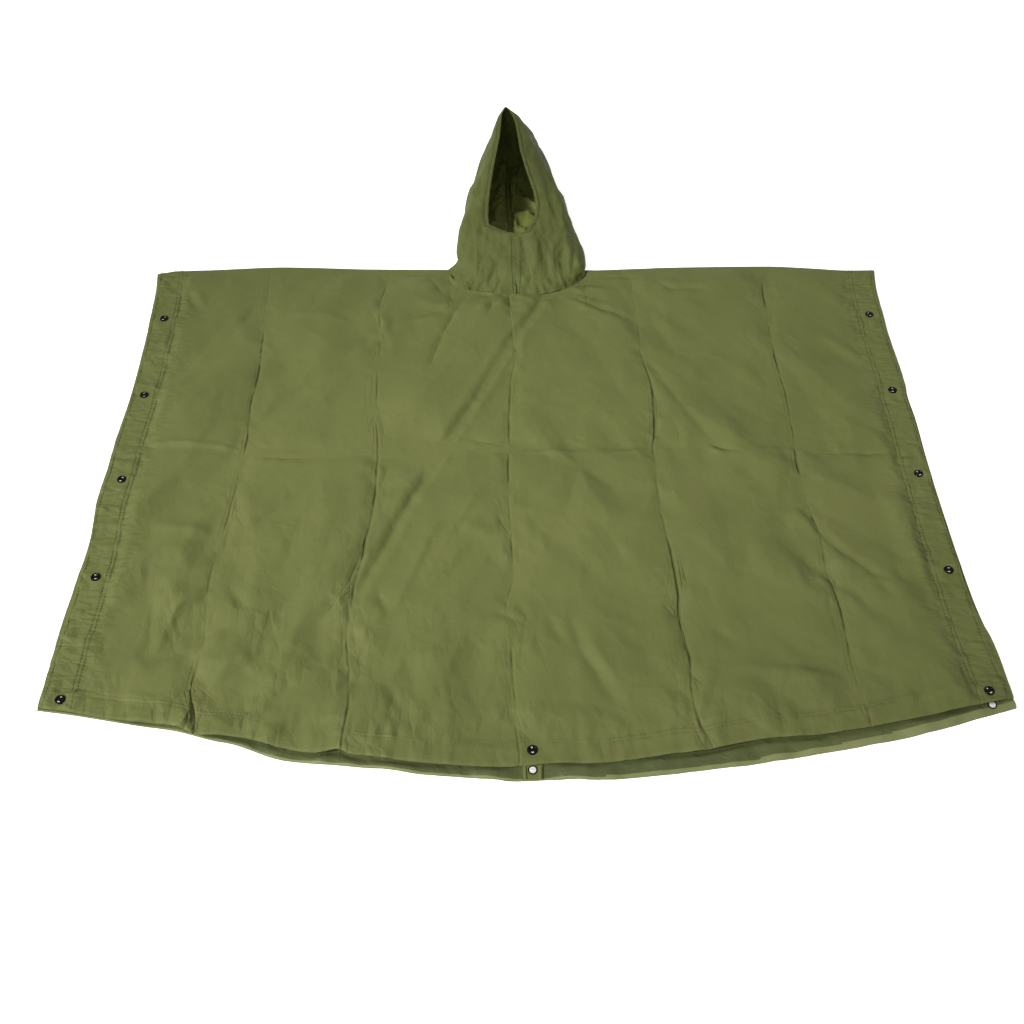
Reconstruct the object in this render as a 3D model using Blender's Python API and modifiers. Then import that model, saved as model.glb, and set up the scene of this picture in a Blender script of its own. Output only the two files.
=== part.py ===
"""Hooded rain poncho in coated olive taffeta, laid out flat with its front side up.

X runs across the shoulders, -Y down to the hem and +Z up. The back panel lies on the
floor, the front panel on it, and the hood beyond the shoulder fold, face opening up.
The origin is on the back panel's underside, halfway between the fold and the front hem.
Below, "down" is a distance from the shoulder fold towards the hem.
"""

import math

import bmesh
import bpy

# Cloth: one layer, and the doubled cloth of a turned hem. GAP parts pieces that are sewn together.
WALL = 0.0012
HEM_WALL = 0.0018
GAP = 0.0003

# Body panels
HALF_WIDTH = 0.698
FRONT_LENGTH = 1.054
HEM_RISE = 0.097
SHOULDER_FLARE = 0.011
SHOULDER_FLARE_REACH = 0.055
HEM_FLARE = 0.006
HEM_FLARE_REACH = 0.030
SIDE_HEM = 0.047
BOTTOM_HEM = 0.034
HEM_STEP = 0.008
FOLD_Y = FRONT_LENGTH / 2

# Neck hole, across the shoulder fold
NECK_HALF = 0.1325
NECK_FRONT_DROP = 0.0800
NECK_BACK_DROP = 0.033
NECK_SQUARENESS = 2.5

# Heights of the front panel's inner face above the floor
REST_HEIGHT = 0.0024
SEAT_HEIGHT = 0.0042
NECK_HEIGHT = 0.0040
PUFF = 0.0036
FOLD_EDGE_HEIGHT = HEM_WALL + GAP
FOLD_ROUNDING = 0.007

# How far from a seam or a hem the loose cloth takes to come up to its full height
SIDE_HEM_REACH = 0.020
NECK_REACH = 0.050
SHOULDER_REACH = 0.050
BOTTOM_REACH = (0.110, 0.030)
NECK_CORNER_DOWN = 0.160

# Press studs: rows down each side and one at the middle of each hem
STUD_INSET = 0.028
STUD_DOWN = (0.143, 0.342, 0.536, 0.733, 0.946)
HEM_STUD_X = 0.006
HEM_STUD_ABOVE = 0.022
HEM_SOCKET_ABOVE = 0.0133
HEM_STUD_LEVEL = (0.020, 0.045)
SOCKET_SLIP_DOWN = (0.80, 0.94)
CAP_RADIUS = 0.0076
SOCKET_RADIUS = 0.0066
STUD_STEPS = 12
TAB_WIDTH = 0.029
TAB_LENGTH = 0.032
TAB_WALL = 0.0010

# The five creases left by packing run down the panel. Each row gives x at these distances down.
CREASE_STATIONS = (0.0, 0.35, 0.75, 1.05)
PACK_CREASES = (
    (-0.489, -0.478, -0.492, -0.470),
    (-0.257, -0.250, -0.264, -0.262),
    (-0.009, -0.014, -0.020, -0.012),
    (0.222, 0.237, 0.235, 0.252),
    (0.482, 0.476, 0.480, 0.487),
)
PACK_CREASE_WIDTH = 0.020
PACK_CREASE_DEPTH = 0.92
MIDDLE_CREASE_DOWN = 0.470
MIDDLE_CREASE_WIDTH = 0.016
MIDDLE_CREASE_DEPTH = 0.55

# A fold fades in and out over this share of its length, or over this length where that is shorter
FADE_SHARE = 0.35
FADE_LONGEST = 0.06

# Larger folds of the front panel: from (x, down) to (x, down), half width, height (a trough is negative)
FRONT_FOLDS = (
    (0.055, 0.110, -0.114, 0.440, 0.017, -0.0034),
    (-0.114, 0.440, -0.277, 0.778, 0.017, -0.0030),
    (-0.094, 0.604, -0.213, 0.815, 0.024, 0.0026),
    (0.090, 0.070, 0.223, 0.152, 0.014, -0.0026),
    (0.240, 0.272, 0.336, 0.460, 0.017, -0.0022),
    (0.336, 0.460, 0.487, 0.671, 0.017, -0.0026),
    (0.487, 0.671, 0.583, 0.778, 0.016, -0.0032),
    (0.580, 0.537, 0.591, 0.711, 0.024, -0.0030),
    (0.610, 0.759, 0.640, 0.902, 0.022, 0.0032),
    (-0.482, 0.671, -0.326, 0.495, 0.015, -0.0028),
    (-0.496, 0.757, -0.548, 0.855, 0.022, 0.0042),
    (-0.478, 0.776, -0.400, 0.840, 0.016, -0.0024),
    (-0.362, 0.843, -0.269, 0.778, 0.014, -0.0030),
    (-0.369, 0.968, -0.343, 0.915, 0.014, -0.0030),
    (-0.475, 0.930, -0.468, 1.020, 0.016, 0.0075),
    (-0.268, 0.850, -0.262, 1.030, 0.018, 0.0065),
    (0.237, 0.955, 0.263, 1.034, 0.018, 0.0080),
    (0.248, 0.979, 0.286, 0.900, 0.016, 0.0045),
    (0.076, 0.818, 0.135, 0.954, 0.022, -0.0024),
    (0.286, 0.915, 0.514, 0.953, 0.020, 0.0022),
    (-0.640, 0.388, -0.535, 0.264, 0.018, -0.0026),
    (-0.610, 0.410, -0.485, 0.326, 0.016, 0.0022),
    (-0.473, 0.124, -0.252, 0.148, 0.014, 0.0018),
    (-0.130, 0.090, -0.235, 0.155, 0.015, 0.0034),
    (-0.260, 0.180, -0.340, 0.240, 0.016, -0.0024),
    (0.486, 0.495, 0.640, 0.497, 0.014, -0.0022),
)

# Gathers that spread from the neck seam: direction in degrees from straight down, length, height
NECK_PLEATS = (
    (-72.0, 0.050, 0.0026),
    (-54.0, 0.085, 0.0036),
    (-34.0, 0.055, 0.0032),
    (-17.0, 0.060, 0.0028),
    (0.0, 0.045, 0.0024),
    (19.0, 0.070, 0.0032),
    (38.0, 0.095, 0.0038),
    (57.0, 0.060, 0.0030),
    (74.0, 0.080, 0.0028),
)
PLEAT_HALF_WIDTH = 0.008
PLEAT_SPREAD = 0.86

# Along the hem: how far the front hem stands off the back panel, how far the back hem shows
# beyond it, and how far the front hem drops below its even arc
HEM_COLUMNS = (
    # x, lift, beyond, drop
    (-0.71, 0.0000, 0.0030, 0.0045),
    (-0.56, 0.0010, 0.0027, 0.0000),
    (-0.47, 0.0050, 0.0040, -0.0030),
    (-0.40, 0.0030, 0.0080, 0.0000),
    (-0.33, 0.0040, 0.0118, 0.0010),
    (-0.25, 0.0090, 0.0110, -0.0030),
    (-0.12, 0.0050, 0.0158, 0.0000),
    (-0.03, 0.0012, 0.0205, 0.0010),
    (0.04, 0.0012, 0.0190, -0.0005),
    (0.14, 0.0020, 0.0200, 0.0020),
    (0.25, 0.0095, 0.0220, -0.0010),
    (0.34, 0.0080, 0.0250, -0.0030),
    (0.48, 0.0060, 0.0245, -0.0025),
    (0.60, 0.0035, 0.0240, -0.0015),
    (0.71, 0.0010, 0.0195, 0.0010),
)
HEM_LIFT_REACH = 0.075

# Columns of the front panel's mesh, as shares of the way from one guide line to the next. The
# guide lines are the packing creases, the sides of the neck hole and the side edges.
SIDE_SHARES = (0.0, 0.04, 0.217, 0.255, 0.45, 0.68, 0.85, 0.94)
INNER_SHARES = (0.0, 0.06, 0.15, 0.35, 0.60, 0.82, 0.94)
SHOULDER_SHARES = (0.0, 0.10, 0.30, 0.60, 0.85)
NECK_SHARES = (0.0, 0.015, 0.05, 0.11, 0.20, 0.30, 0.41, 0.52, 0.64, 0.76, 0.88)
FRONT_ROWS = (
    0.0, 0.002, 0.005, 0.010, 0.022, 0.038, 0.056, 0.078, 0.105, 0.140, 0.180, 0.225, 0.275, 0.330,
    0.390, 0.440, 0.457, 0.470, 0.483, 0.510, 0.560, 0.615, 0.670, 0.725, 0.780, 0.835, 0.885, 0.935,
    0.975, FRONT_LENGTH - BOTTOM_HEM - HEM_STEP, FRONT_LENGTH - BOTTOM_HEM, FRONT_LENGTH - 0.010,
    FRONT_LENGTH,
)
NECK_FADE_DOWN = 0.40
HEM_FADE_DOWN = 0.50
BACK_COLUMNS = 12
BACK_ROWS = (0.0, 0.06, 0.35, 0.75, 0.92)

# Hood, from its neck seam to its peak. The back seam lies on the floor, "side" is the widest place
# of each half and "rim" its front edge: the throat seam up to the chin, and then the face opening.
HOOD_COLUMNS = (
    "back_down", "back_z", "floor_x", "left_x", "right_x", "side_down", "side_z",
    "rim_x", "rim_down", "rim_z", "lean",
)
HOOD_SECTIONS = (
    (0.0325, 0.0000, 0.095, 0.1310, 0.1310, 0.000, 0.0028, 0.0000, 0.0794, 0.0052, 0.000),
    (0.0140, 0.0000, 0.090, 0.1140, 0.1365, -0.014, 0.0110, 0.0000, 0.0560, 0.0190, -0.003),
    (-0.0150, 0.0000, 0.090, 0.1125, 0.1350, -0.036, 0.0210, 0.0000, 0.0220, 0.0380, -0.005),
    (-0.0550, 0.0000, 0.088, 0.1085, 0.1265, -0.068, 0.0300, 0.0000, -0.0260, 0.0590, -0.007),
    (-0.0700, 0.0000, 0.085, 0.1070, 0.1240, -0.080, 0.0330, 0.0300, -0.0400, 0.0670, -0.008),
    (-0.1100, 0.0000, 0.078, 0.0990, 0.1150, -0.112, 0.0380, 0.0480, -0.0860, 0.0830, -0.009),
    (-0.1600, 0.0000, 0.066, 0.0910, 0.1080, -0.152, 0.0440, 0.0440, -0.1300, 0.0980, -0.011),
    (-0.2100, 0.0000, 0.054, 0.0745, 0.0970, -0.195, 0.0510, 0.0345, -0.1750, 0.1105, -0.014),
    (-0.2600, 0.0000, 0.041, 0.0630, 0.0840, -0.238, 0.0610, 0.0265, -0.2200, 0.1210, -0.015),
    (-0.3050, 0.0000, 0.028, 0.0510, 0.0665, -0.278, 0.0740, 0.0180, -0.2620, 0.1295, -0.014),
    (-0.3450, 0.0050, 0.017, 0.0365, 0.0500, -0.312, 0.0910, 0.0125, -0.2980, 0.1345, -0.015),
    (-0.3730, 0.0400, 0.010, 0.0235, 0.0340, -0.335, 0.1100, 0.0040, -0.3220, 0.1370, -0.017),
    (-0.3680, 0.0900, 0.005, 0.0100, 0.0190, -0.347, 0.1250, 0.0012, -0.3370, 0.1385, -0.020),
    (-0.3580, 0.1280, 0.002, 0.0040, 0.0065, -0.351, 0.1340, 0.0010, -0.3440, 0.1390, -0.020),
)
HOOD_SEAM_CLEARANCE = 0.0004
NECK_CLEARANCE = 0.0006
HOOD_FLOOR_POINTS = 3
HOOD_LOWER_POINTS = 5
HOOD_UPPER_POINTS = 20
HOOD_PLEATS = 5
HOOD_PLEAT_HEIGHT = 0.0030
HOOD_PLEAT_ROWS = (0.0, 1.0, 0.9, 0.35)

# Finishes: colour, roughness, metallic
OLIVE_CLOTH = ((0.153, 0.171, 0.060), 0.55, 0.0)
OLIVE_CLOTH_INSIDE = ((0.110, 0.122, 0.040), 0.60, 0.0)
BLACKENED_BRASS = ((0.030, 0.027, 0.025), 0.35, 1.0)
NICKEL = ((0.72, 0.72, 0.74), 0.22, 1.0)


def blend(a, b, share):
    return a + (b - a) * share


def smooth(value, low, high):
    """0 below low, 1 above high, with soft ends."""
    share = min(max((value - low) / (high - low), 0.0), 1.0)
    return share * share * (3.0 - 2.0 * share)


def bump(distance, width):
    return math.exp(-((distance / width) ** 2))


def through(stations, values, at):
    """The value at a place between stations, joined by soft steps."""
    for low, high, first, second in zip(stations, stations[1:], values, values[1:]):
        if at <= high:
            return blend(first, second, smooth(at, low, high))
    return values[-1]


def material(name, finish):
    colour, roughness, metallic = finish
    made = bpy.data.materials.new(name)
    made.use_nodes = True
    shader = made.node_tree.nodes["Principled BSDF"]
    shader.inputs["Base Color"].default_value = (*colour, 1.0)
    shader.inputs["Roughness"].default_value = roughness
    shader.inputs["Metallic"].default_value = metallic
    return made


def add_object(name, mesh, finish, smooth_faces=True):
    if smooth_faces:
        mesh.shade_smooth()
        mesh.set_sharp_from_angle(angle=math.radians(50))
    mesh.materials.append(finish)
    made = bpy.data.objects.new(name, mesh)
    made.parent = lay_out
    poncho.objects.link(made)
    return made


def grid_mesh(name, points):
    """An open grid of quads through rows of points, the first row at its far side."""
    across, along = len(points[0]) - 1, len(points) - 1
    mesh = bpy.data.meshes.new(name)
    sheet = bmesh.new()
    bmesh.ops.create_grid(sheet, x_segments=across, y_segments=along, size=0.5)
    for corner in sheet.verts:
        column = round((corner.co.x + 0.5) * across)
        row = round((0.5 - corner.co.y) * along)
        corner.co = points[row][column]
    sheet.to_mesh(mesh)
    sheet.free()
    return mesh


def give_thickness(made, thickness, outward, thick_share=None):
    """Solidify, with the full thickness in the hems and WALL elsewhere where shares are given."""
    wall = made.modifiers.new("cloth", "SOLIDIFY")
    wall.thickness = thickness
    wall.offset = 1.0 if outward else -1.0
    if thick_share:
        group = made.vertex_groups.new(name="hem")
        for index, share in enumerate(thick_share):
            group.add([index], share, "REPLACE")
        wall.vertex_group = group.name
        wall.thickness_vertex_group = WALL / thickness


# Outline of the panels


def side_x(down):
    """Centreline to side edge: straight, and flared a little at both corners."""
    from_hem = max(FRONT_LENGTH - HEM_RISE - down, 0.0)
    at_shoulder = SHOULDER_FLARE * math.exp(-max(down, 0.0) / SHOULDER_FLARE_REACH)
    return HALF_WIDTH + at_shoulder + HEM_FLARE * math.exp(-from_hem / HEM_FLARE_REACH)


def hem_column(x, column):
    return through([row[0] for row in HEM_COLUMNS], [row[column] for row in HEM_COLUMNS], x)


def hem_down(x):
    return FRONT_LENGTH - HEM_RISE * (x / HALF_WIDTH) ** 2 + hem_column(x, 3)


def neck_down(x, drop):
    """The edge of the neck hole: a squarish half oval hanging from the fold."""
    share = min(abs(x) / NECK_HALF, 1.0)
    return drop * (1.0 - share**NECK_SQUARENESS) ** (1.0 / NECK_SQUARENESS)


def place_down(x, row, neck_drop, beyond=0.0):
    """Distance down of a mesh row: level across the middle, bent to the neck hole and to the hem arc."""
    down = row + neck_down(x, neck_drop) * max(1.0 - row / NECK_FADE_DOWN, 0.0)
    hem_share = max(row - HEM_FADE_DOWN, 0.0) / (FRONT_LENGTH - HEM_FADE_DOWN)
    return down + (hem_down(x) + beyond - FRONT_LENGTH) * hem_share


def crease_x(crease, down):
    return through(CREASE_STATIONS, crease, down)


def in_hem(x, down, hem_edge):
    """1 in the turned hems and 0 in the single cloth, with a short step between them."""
    across = smooth(abs(x), side_x(down) - SIDE_HEM - HEM_STEP, side_x(down) - SIDE_HEM)
    along = smooth(down, hem_edge - BOTTOM_HEM - HEM_STEP, hem_edge - BOTTOM_HEM)
    return max(across, along)


# Height of the front panel


def fold_height(x, down, fold):
    """Height at a point of one straight fold, which dies away at its sides and at its ends."""
    x0, down0, x1, down1, half_width, height = fold
    run_x, run_down = x1 - x0, down1 - down0
    length = math.hypot(run_x, run_down)
    along = ((x - x0) * run_x + (down - down0) * run_down) / length
    aside = ((x - x0) * run_down - (down - down0) * run_x) / length
    past_end = max(-along, along - length, 0.0)
    fade = min(FADE_SHARE * length, FADE_LONGEST)
    fade_in = smooth(along, -half_width, fade)
    fade_out = 1.0 - smooth(along, length - fade, length + half_width)
    return height * bump(aside, half_width) * bump(past_end, half_width) * fade_in * fade_out


def neck_pleats():
    """The gathers below the neck seam, as rows like those of FRONT_FOLDS."""
    for degrees, length, height in NECK_PLEATS:
        turn = math.radians(degrees)
        x = NECK_HALF * PLEAT_SPREAD * math.sin(turn)
        down = neck_down(x, NECK_FRONT_DROP)
        end_x = x + length * math.sin(turn)
        end_down = down + length * math.cos(turn)
        yield (x, down, end_x, end_down, PLEAT_HALF_WIDTH, height)


def puff_height(x, down):
    """The cloth stands up softly between the packing creases and lies down along them."""
    share = 1.0
    for crease in PACK_CREASES:
        share *= 1.0 - PACK_CREASE_DEPTH * bump(x - crease_x(crease, down), PACK_CREASE_WIDTH)
    share *= 1.0 - MIDDLE_CREASE_DEPTH * bump(down - MIDDLE_CREASE_DOWN, MIDDLE_CREASE_WIDTH)
    share *= smooth(down, 0.0, SHOULDER_REACH)
    share *= 1.0 - smooth(down, hem_down(x) - BOTTOM_REACH[0], hem_down(x) - BOTTOM_REACH[1])
    return PUFF * share


def near_hem_stud(x, down):
    """1 round the press stud at the middle of the hem, where the cloth lies level."""
    aside = math.hypot(x - HEM_STUD_X, down - (FRONT_LENGTH - HEM_STUD_ABOVE))
    return 1.0 - smooth(aside, *HEM_STUD_LEVEL)


def front_height(x, down, folds):
    """Height of the front panel's inner face above the floor."""
    inner = side_x(down) - SIDE_HEM
    side_band = smooth(abs(x), inner - SIDE_HEM_REACH, inner)
    past_neck = math.hypot(max(abs(x) - NECK_HALF, 0.0), max(down - neck_down(x, NECK_FRONT_DROP), 0.0))
    loose = puff_height(x, down) * smooth(past_neck, 0.0, NECK_REACH)
    loose += sum(fold_height(x, down, fold) for fold in folds)
    lift = hem_column(x, 1) * bump(hem_down(x) - down, HEM_LIFT_REACH)
    rest = blend(REST_HEIGHT, SEAT_HEIGHT, side_band)
    if abs(x) < NECK_HALF and down < NECK_CORNER_DOWN:
        rest = blend(NECK_HEIGHT, rest, smooth(past_neck, 0.0, NECK_REACH))
    height = max(rest + loose * (1.0 - side_band), REST_HEIGHT) + lift * (1.0 - side_band)
    return blend(height, SEAT_HEIGHT, near_hem_stud(x, down))


def front_columns(row_down):
    """x of every mesh column at a distance down: the columns follow the packing creases."""
    outer, left, centre, right, far = (crease_x(crease, row_down) for crease in PACK_CREASES)
    edge = side_x(row_down)
    guides = (-edge, outer, left, -NECK_HALF, centre, NECK_HALF, right, far, edge)
    half = (SIDE_SHARES, INNER_SHARES, SHOULDER_SHARES, NECK_SHARES)
    mirrored = [(0.0, *(1.0 - share for share in reversed(shares[1:]))) for shares in reversed(half)]
    columns = [
        blend(start, end, share)
        for start, end, shares in zip(guides, guides[1:], (*half, *mirrored))
        for share in shares
    ]
    return [*columns, edge]


def front_point(x, row, folds):
    down = place_down(x, row, NECK_FRONT_DROP)
    height = front_height(x, down, folds)
    if abs(x) >= NECK_HALF:
        # The shoulder fold: the cloth rounds over and comes down to the back panel's edge.
        rise = math.sin(0.5 * math.pi * min(row / FOLD_ROUNDING, 1.0))
        height = blend(FOLD_EDGE_HEIGHT, height, rise)
    return (x, -down, height)


def make_front():
    folds = [*FRONT_FOLDS, *neck_pleats()]
    points = [[front_point(x, row, folds) for x in front_columns(row)] for row in FRONT_ROWS]
    front = add_object("body_front", grid_mesh("body_front", points), cloth)
    shares = [in_hem(v.co.x, -v.co.y, hem_down(v.co.x)) for v in front.data.vertices]
    give_thickness(front, HEM_WALL, outward=True, thick_share=shares)


def back_hem_down(x):
    return hem_down(x) + hem_column(x, 2)


def make_back():
    """The back panel lies flat on the floor, with its turned hems on its upper, inner face."""
    lower_rows = (FRONT_LENGTH - BOTTOM_HEM - HEM_STEP, FRONT_LENGTH - BOTTOM_HEM, FRONT_LENGTH)
    points = []
    for row in (*BACK_ROWS, *lower_rows):
        edge = side_x(row)
        inner = edge - SIDE_HEM - HEM_STEP
        shoulder = [blend(inner, NECK_HALF, step / BACK_COLUMNS) for step in range(BACK_COLUMNS)]
        half = [edge, edge - SIDE_HEM, *shoulder, *(NECK_HALF * (1.0 - share) for share in NECK_SHARES)]
        columns = [*(-x for x in half), 0.0, *reversed(half)]
        rows_down = [
            place_down(x, row, NECK_BACK_DROP, back_hem_down(x) - hem_down(x)) for x in columns
        ]
        points.append([(x, -down, 0.0) for x, down in zip(columns, rows_down)])
    back = add_object("body_back", grid_mesh("body_back", points), cloth_inside)
    shares = [in_hem(v.co.x, -v.co.y, back_hem_down(v.co.x)) for v in back.data.vertices]
    give_thickness(back, HEM_WALL, outward=True, thick_share=shares)


# Hood


def hood_section(row, side):
    """Outer points of one half's section, from the back seam round to the front edge."""
    section = dict(zip(HOOD_COLUMNS, HOOD_SECTIONS[row]))
    widest = section["right_x"] if side > 0 else section["left_x"]
    rim_x = max(section["rim_x"], HOOD_SEAM_CLEARANCE)
    floor_z = section["back_z"]

    def floor_down(x):
        return min(section["back_down"], neck_down(x, NECK_BACK_DROP) - NECK_CLEARANCE)

    squareness = blend(NECK_SQUARENESS, 2.0, smooth(row, 0, 4))
    points = []
    for step in range(HOOD_FLOOR_POINTS):
        share = step / HOOD_FLOOR_POINTS
        x = blend(HOOD_SEAM_CLEARANCE, section["floor_x"], share)
        points.append((x, floor_down(x), floor_z))
    for step in range(HOOD_LOWER_POINTS):
        turn = 0.5 * math.pi * step / HOOD_LOWER_POINTS
        x = blend(section["floor_x"], widest, math.sin(turn))
        down = blend(floor_down(x), section["side_down"], 1.0 - math.cos(turn))
        points.append((x, down, blend(floor_z, section["side_z"], 1.0 - math.cos(turn))))
    fullness = HOOD_PLEAT_ROWS[row] if row < len(HOOD_PLEAT_ROWS) else 0.0
    for step in range(HOOD_UPPER_POINTS + 1):
        share = step / HOOD_UPPER_POINTS
        turn = 0.5 * math.pi * share
        out = max(math.cos(turn), 0.0) ** (2.0 / squareness)
        up = math.sin(turn) ** (2.0 / squareness)
        ripple = 0.5 - 0.5 * math.cos(2.0 * math.pi * HOOD_PLEATS * share)
        pleat = HOOD_PLEAT_HEIGHT * fullness * ripple
        x = blend(rim_x, widest, out) + pleat * out * 0.5
        down = blend(section["side_down"], section["rim_down"], up)
        points.append((x, down, blend(section["side_z"], section["rim_z"], up) + pleat))
    return [(side * x + section["lean"], -down, z) for x, down, z in points]


def make_hood_half(name, side):
    sections = [hood_section(row, side) for row in range(len(HOOD_SECTIONS))]
    if side < 0:
        sections = [section[::-1] for section in sections]
    half = add_object(name, grid_mesh(name, sections), cloth)
    give_thickness(half, WALL, outward=False)


# Press studs


def turned(name, profile, finish, place):
    """A round piece from its profile of (radius, height) points, top centre to bottom centre."""
    mesh = bpy.data.meshes.new(name)
    mesh.from_pydata([(r, 0.0, z) for r, z in profile], [(i, i + 1) for i in range(len(profile) - 1)], [])
    made = add_object(name, mesh, finish, smooth_faces=False)
    made.location = place
    spin = made.modifiers.new("turn", "SCREW")
    spin.steps = spin.render_steps = STUD_STEPS
    spin.use_merge_vertices = True
    spin.merge_threshold = 0.00005
    return made


def make_cap(name, x, down):
    """The dished cap on the front panel's outer face, with a raised middle."""
    profile = (
        (0.0, 0.0017), (0.0016, 0.0016), (0.0026, 0.0009), (0.0046, 0.0011),
        (0.0062, 0.0018), (CAP_RADIUS, 0.0008), (CAP_RADIUS, 0.0), (0.0, 0.0),
    )
    turned(name, profile, dark_metal, (x, -down, SEAT_HEIGHT + HEM_WALL + GAP))


def make_socket(name, x, down, seat):
    """The bright socket face on the back panel's inner face, in its dark ring."""
    profile = ((0.0, 0.0015), (0.0042, 0.0015), (SOCKET_RADIUS, 0.0006), (SOCKET_RADIUS, 0.0), (0.0, 0.0))
    turned(name, profile, bright_metal, (x, -down, seat + GAP))


def make_studs():
    for side, label in ((-1, "left"), (1, "right")):
        for number, down in enumerate(STUD_DOWN, start=1):
            x = side * (side_x(down) - STUD_INSET)
            make_cap(f"snap_cap_{label}_{number}", x, down)
            slip = hem_column(x, 2) * smooth(down, *SOCKET_SLIP_DOWN) if side > 0 else 0.0
            make_socket(f"snap_socket_{label}_{number}", x, down + slip, HEM_WALL)
    make_cap("snap_cap_hem", HEM_STUD_X, FRONT_LENGTH - HEM_STUD_ABOVE)
    back_edge = back_hem_down(HEM_STUD_X)
    make_socket("snap_socket_hem", HEM_STUD_X, back_edge - HEM_SOCKET_ABOVE, HEM_WALL + GAP + TAB_WALL)


def make_hem_tab():
    """The doubled tab of cloth under the back hem's press stud."""
    mesh = bpy.data.meshes.new("hem_tab")
    tab = bmesh.new()
    bmesh.ops.create_cube(tab, size=1.0)
    bmesh.ops.scale(tab, vec=(TAB_WIDTH, TAB_LENGTH, TAB_WALL), verts=tab.verts)
    tab.to_mesh(mesh)
    tab.free()
    made = add_object("hem_tab", mesh, cloth, smooth_faces=False)
    down = back_hem_down(HEM_STUD_X) - 0.001 - TAB_LENGTH / 2
    made.location = (HEM_STUD_X, -down, HEM_WALL + GAP + TAB_WALL / 2)


for old in list(bpy.data.objects):
    bpy.data.objects.remove(old, do_unlink=True)

poncho = bpy.data.collections.new("rain_poncho")
bpy.context.scene.collection.children.link(poncho)
lay_out = bpy.data.objects.new("lay_out", None)
lay_out.location = (0.0, FOLD_Y, 0.0)
poncho.objects.link(lay_out)

cloth = material("coated_taffeta", OLIVE_CLOTH)
cloth_inside = material("coated_taffeta_inside", OLIVE_CLOTH_INSIDE)
dark_metal = material("blackened_brass", BLACKENED_BRASS)
bright_metal = material("nickel", NICKEL)

make_back()
make_front()
make_hood_half("hood_left", -1)
make_hood_half("hood_right", 1)
make_hem_tab()
make_studs()
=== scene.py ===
import itertools
import math

import bpy
import numpy as np
from mathutils import Euler, Matrix, Vector, noise


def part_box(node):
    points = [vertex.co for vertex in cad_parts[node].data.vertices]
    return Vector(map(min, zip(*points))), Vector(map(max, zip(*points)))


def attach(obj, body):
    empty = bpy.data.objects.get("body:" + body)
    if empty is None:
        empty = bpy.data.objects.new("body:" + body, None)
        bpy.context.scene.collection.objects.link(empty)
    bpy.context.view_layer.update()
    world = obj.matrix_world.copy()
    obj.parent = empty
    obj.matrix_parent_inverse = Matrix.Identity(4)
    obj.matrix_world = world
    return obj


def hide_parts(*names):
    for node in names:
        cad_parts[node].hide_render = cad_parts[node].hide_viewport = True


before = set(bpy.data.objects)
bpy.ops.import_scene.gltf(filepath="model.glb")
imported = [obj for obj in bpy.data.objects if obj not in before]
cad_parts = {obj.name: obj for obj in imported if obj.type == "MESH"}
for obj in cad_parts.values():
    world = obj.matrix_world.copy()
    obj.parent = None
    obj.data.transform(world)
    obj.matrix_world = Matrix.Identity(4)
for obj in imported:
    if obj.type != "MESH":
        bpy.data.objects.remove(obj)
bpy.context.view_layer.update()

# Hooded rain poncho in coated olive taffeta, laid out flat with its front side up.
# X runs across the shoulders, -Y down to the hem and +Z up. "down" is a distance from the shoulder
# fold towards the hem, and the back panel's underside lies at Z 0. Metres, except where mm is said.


# -------- camera, floor and light
# The garment lies on a white light table. The camera stands at its hem side and looks down at it. One
# large soft lamp stands beyond its lower left corner, so that each crease has a lit and a dark flank.

CAMERA_PLACE = (-0.0359, -1.1611, 1.4128)
CAMERA_BELOW_LEVEL = 52.554
CAMERA_TURN = 1.0
CAMERA_ROLL = 0.348
CAMERA_LENS = 38.0

camera = bpy.data.objects.new("camera", bpy.data.cameras.new("camera"))
aim = Euler((math.radians(90.0 - CAMERA_BELOW_LEVEL), 0.0, math.radians(-CAMERA_TURN))).to_matrix()
roll = Matrix.Rotation(math.radians(CAMERA_ROLL), 3, "Z")
camera.matrix_world = Matrix.Translation(CAMERA_PLACE) @ (aim @ roll).to_4x4()
camera.data.lens = CAMERA_LENS
camera.data.sensor_width = 36.0
bpy.context.scene.collection.objects.link(camera)
bpy.context.scene.camera = camera
bpy.context.scene.view_settings.view_transform = "Standard"


def linear(hex_colour):
    """An sRGB hex colour as linear red, green, blue and alpha."""
    parts = [int(hex_colour[place : place + 2], 16) / 255.0 for place in (1, 3, 5)]
    return (*(v / 12.92 if v <= 0.04045 else ((v + 0.055) / 1.055) ** 2.4 for v in parts), 1.0)


def add_node(tree, kind, settings=None, values=None, links=None):
    """One node: settings are its own properties, values its unlinked inputs, links its input sockets."""
    node = tree.nodes.new(kind)
    for name, value in (settings or {}).items():
        setattr(node, name, value)
    for name, value in (values or {}).items():
        node.inputs[name].default_value = value
    for name, source in (links or {}).items():
        tree.links.new(source, node.inputs[name])
    return node


def new_material(name):
    """A material, its node tree and its Principled shader."""
    made = bpy.data.materials.new(name)
    made.use_nodes = True
    return made, made.node_tree, made.node_tree.nodes["Principled BSDF"]


def add_piece(name, mesh, finish):
    mesh.materials.append(finish)
    made = bpy.data.objects.new(name, mesh)
    bpy.context.scene.collection.objects.link(made)
    return made


FLOOR_HALF = 9.0
TABLE_GLOW = 0.62

floor_corners = ((-1, -1), (1, -1), (1, 1), (-1, 1))
floor_mesh = bpy.data.meshes.new("floor")
floor_mesh.from_pydata([(FLOOR_HALF * x, FLOOR_HALF * y, 0.0) for x, y in floor_corners], [], [(0, 1, 2, 3)])
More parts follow.
